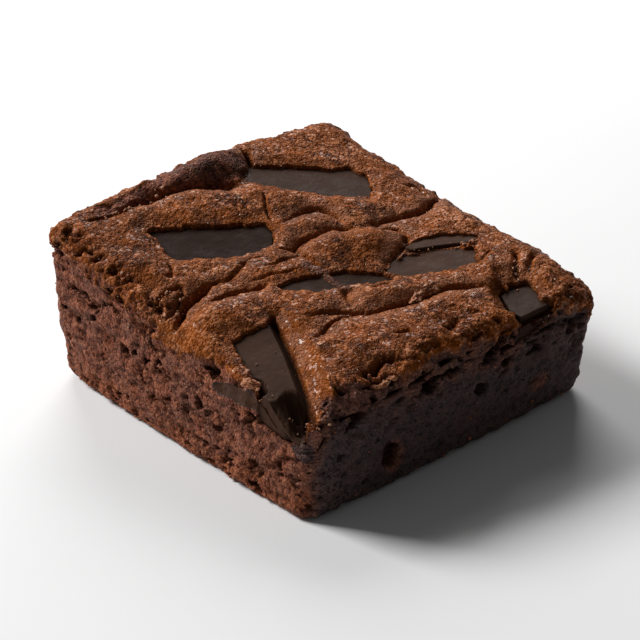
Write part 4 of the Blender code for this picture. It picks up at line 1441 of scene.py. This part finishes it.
class BrownieColours(bpy.types.PropertyGroup):
    """Colours of the cake, the chocolate and the crumbs."""

    crust: colour_property("Crust", "Baked crust at its usual height", (0.212, 0.055, 0.0125))
    # Crust gap and grain colours: partly the crust's own, partly painted shade and highlight on its relief; the
    # gap colour also darkens the darker patches.
    crust_dark: colour_property("Crust gaps", "Crust between its grains", (0.05, 0.011, 0.002))
    crust_light: colour_property("Crust grains", "Tops of the crust's grains", (0.54, 0.225, 0.105))
    # The warm colour is real orange patches, and also a painted glow on steep slopes.
    crust_warm: colour_property("Crust warmth", "Orange patches in the crust", (0.325, 0.08, 0.008))
    # The skin colour is a painted sheen on fold ridges, round slabs and on the lighter patches.
    skin: colour_property("Stretched skin", "Greyer skin on the ridges of folds", (0.30, 0.125, 0.070))
    crumb: colour_property("Crumb", "Inside of the cake", (0.235, 0.075, 0.041))
    # Crumb gap and grain colours: partly the crumb's own, partly painted shade and highlight on its relief.
    crumb_dark: colour_property("Crumb gaps", "Gaps in the crumb", (0.035, 0.009, 0.005))
    crumb_light: colour_property("Crumb grains", "Light grains of the crumb", (0.38, 0.15, 0.085))
    crumb_warm: colour_property("Crumb warmth", "Orange flecks in the crumb", (0.30, 0.085, 0.028))
    crumb_dull: colour_property("Dull crumb", "Greyer patches of the crumb", (0.12, 0.055, 0.042))
    lump: colour_property("Lumps", "Torn lumps of crust", (0.40, 0.18, 0.085))
    # Smear colours: real dragged chocolate, and also painted shade over the whole right side.
    smear_and_side_shade: colour_property("Smear", "Chocolate dragged over the right side", (0.043, 0.037, 0.041))
    smear_light: colour_property("Smear grains", "Grains in the dragged chocolate", (0.070, 0.055, 0.055))
    # Painted shade colour for pores, creases, pits, crevices and the gaps beside slabs.
    hollow_shade: colour_property("Hollows", "Depth of pores and creases", (0.014, 0.003, 0.001))
    chocolate: colour_property("Chocolate", "Dark chocolate slabs", (0.019, 0.0095, 0.0065))
    # The bloom colour is real bloom, and on the slabs also a painted sheen.
    bloom: colour_property("Chocolate bloom", "Cloudy surface of the slabs", (0.062, 0.031, 0.0195))
    # The golden colour is the loose crumbs' own, and also painted as glints on the crust.
    golden: colour_property("Golden crumbs", "Loose light crumbs", (0.42, 0.22, 0.13))
    sugar: colour_property("Sugar", "Tiny glossy grains on the crust", (0.75, 0.55, 0.42))


class BrownieShape(bpy.types.PropertyGroup):
    """Amounts of the grains that lie on the brownie."""

    sugar_share: bpy.props.FloatProperty(
        name="Sugar grains", description="Share of the crust's points that carry a sugar grain",
        default=0.006, min=0.0, max=0.05)
    rubble_share: bpy.props.FloatProperty(
        name="Side rubble", description="Share of the sides' points that carry a loose grain",
        default=0.004, min=0.0, max=0.05)
    seed: bpy.props.IntProperty(
        name="Seed", description="Start of the scatter of crumbs", default=4, min=0)


class BrownieStudio(bpy.types.PropertyGroup):
    """Light, floor and camera."""

    azimuth: bpy.props.FloatProperty(
        name="Camera azimuth", description="Turn of the camera around the brownie",
        default=math.radians(48.32), unit="ROTATION")
    elevation: bpy.props.FloatProperty(
        name="Camera elevation", description="Angle of the camera above the floor",
        default=math.radians(30.95), unit="ROTATION")
    distance: bpy.props.FloatProperty(
        name="Camera distance", description="From the camera to the point it aims at",
        default=0.5794, unit="LENGTH")
    lens: bpy.props.FloatProperty(
        name="Lens", description="Focal length in millimetres", default=180.0)
    key_power: bpy.props.FloatProperty(
        name="Key light", description="Power of the large light at the left", default=15.1, unit="POWER")
    back_power: bpy.props.FloatProperty(
        name="Back light", description="Power of the soft light behind", default=5.5, unit="POWER")
    fill: bpy.props.FloatProperty(
        name="Fill", description="Strength of the even light from all round", default=0.09)
    floor: colour_property("Floor", "Pale floor", (0.8, 0.8, 0.8))


class BROWNIE_OT_make_cake(bpy.types.Operator):
    """Build the crust, the crumb of the four sides and the base."""

    bl_idname = "brownie.make_cake"
    bl_label = "Make cake"

    def execute(self, context):
        material = cake_material(context.scene.brownie_colours, grain_group())
        for piece in build_cake():
            piece.data.materials.append(material)
            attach(piece, "root")
            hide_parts("brownie_body")
        return {"FINISHED"}


class BROWNIE_OT_make_slabs(bpy.types.Operator):
    """Build the slabs of dark chocolate."""

    bl_idname = "brownie.make_slabs"
    bl_label = "Make chocolate slabs"

    def execute(self, context):
        material = chocolate_material(context.scene.brownie_colours, bpy.data.node_groups["fine_grain"])
        for name in SLABS:
            build_slab(name).data.materials.append(material)
        return {"FINISHED"}


class BROWNIE_OT_make_crumbs(bpy.types.Operator):
    """Scatter crumbs, lumps and side rubble."""

    bl_idname = "brownie.make_crumbs"
    bl_label = "Make crumbs"

    def execute(self, context):
        colours = context.scene.brownie_colours
        shape = context.scene.brownie_shape
        rng = np.random.default_rng(shape.seed)
        grain = bpy.data.node_groups["fine_grain"]
        golden = crumb_material("golden_crumb", colours.golden, grain, 0.6, 0.25)
        brown = crumb_material("brown_crumb", colours.crumb_light, grain, 0.6, 0.2)
        torn = crumb_material("torn_crust", colours.lump, grain, 0.5, 0.2)
        build_route_crumbs("golden_crumbs", golden, rng)
        build_lumps("crumb_lumps", torn)

        def rule(piece, spots, crust):
            low = 1.0 - smoothstep(2.0, 7.0, spots[:, 2])
            edge = np.exp(-((crust - 0.5) / 0.3) ** 2)
            amount = {"crust_top": 0.15, "crumb_front": 1.0, "crumb_right": 0.25}.get(piece, 0.5)
            return shape.rubble_share * amount * (0.35 + 1.2 * low + 1.5 * edge)

        build_surface_grains("side_rubble", brown, rng, rule, (0.25, 0.75))
        return {"FINISHED"}


class BROWNIE_OT_make_sugar(bpy.types.Operator):
    """Scatter tiny glossy sugar grains over the crust."""

    bl_idname = "brownie.make_sugar"
    bl_label = "Make sugar grains"

    def execute(self, context):
        shape = context.scene.brownie_shape
        rng = np.random.default_rng(shape.seed + 1)
        grain = bpy.data.node_groups["fine_grain"]
        sugar = crumb_material("sugar_grain", context.scene.brownie_colours.sugar, grain, 0.25, 0.5)

        def rule(piece, spots, crust):
            return shape.sugar_share * crust * (1.0 if piece == "crust_top" else 0.4)

        build_surface_grains("sugar_grains", sugar, rng, rule, (0.1, 0.24))
        return {"FINISHED"}


class BROWNIE_OT_set_stage(bpy.types.Operator):
    """Set the floor, the lights and the camera."""

    bl_idname = "brownie.set_stage"
    bl_label = "Set stage"

    def execute(self, context):
        studio = context.scene.brownie_studio
        build_stage(context.scene, studio)
        return {"FINISHED"}


class BROWNIE_PT_panel(bpy.types.Panel):
    """Steps and settings of the brownie."""

    bl_idname = "BROWNIE_PT_panel"
    bl_label = "Chocolate Brownie"
    bl_space_type = "VIEW_3D"
    bl_region_type = "UI"
    bl_category = "Brownie"

    def draw(self, context):
        layout = self.layout
        for operator in OPERATORS:
            layout.operator(operator.bl_idname)
        for group in (context.scene.brownie_shape, context.scene.brownie_colours, context.scene.brownie_studio):
            box = layout.box()
            for name in group.__annotations__:
                box.prop(group, name)


OPERATORS = (
    BROWNIE_OT_make_cake, BROWNIE_OT_make_slabs, BROWNIE_OT_make_crumbs, BROWNIE_OT_make_sugar,
    BROWNIE_OT_set_stage)
GROUPS = {"brownie_colours": BrownieColours, "brownie_shape": BrownieShape, "brownie_studio": BrownieStudio}


def register():
    """Make the settings, operators and panel known to Blender."""
    for group in GROUPS.values():
        bpy.utils.register_class(group)
    for name, group in GROUPS.items():
        setattr(bpy.types.Scene, name, bpy.props.PointerProperty(type=group))
    for operator in OPERATORS:
        bpy.utils.register_class(operator)
    bpy.utils.register_class(BROWNIE_PT_panel)


def unregister():
    """Take them away again."""
    bpy.utils.unregister_class(BROWNIE_PT_panel)
    for operator in reversed(OPERATORS):
        bpy.utils.unregister_class(operator)
    for name, group in GROUPS.items():
        delattr(bpy.types.Scene, name)
        bpy.utils.unregister_class(group)


def main():
    """Build the brownie and its stage."""
    register()
    bpy.ops.brownie.make_cake()
    bpy.ops.brownie.make_slabs()
    bpy.ops.brownie.make_crumbs()
    bpy.ops.brownie.make_sugar()
    bpy.ops.brownie.set_stage()


if __name__ == "__main__":
    main()
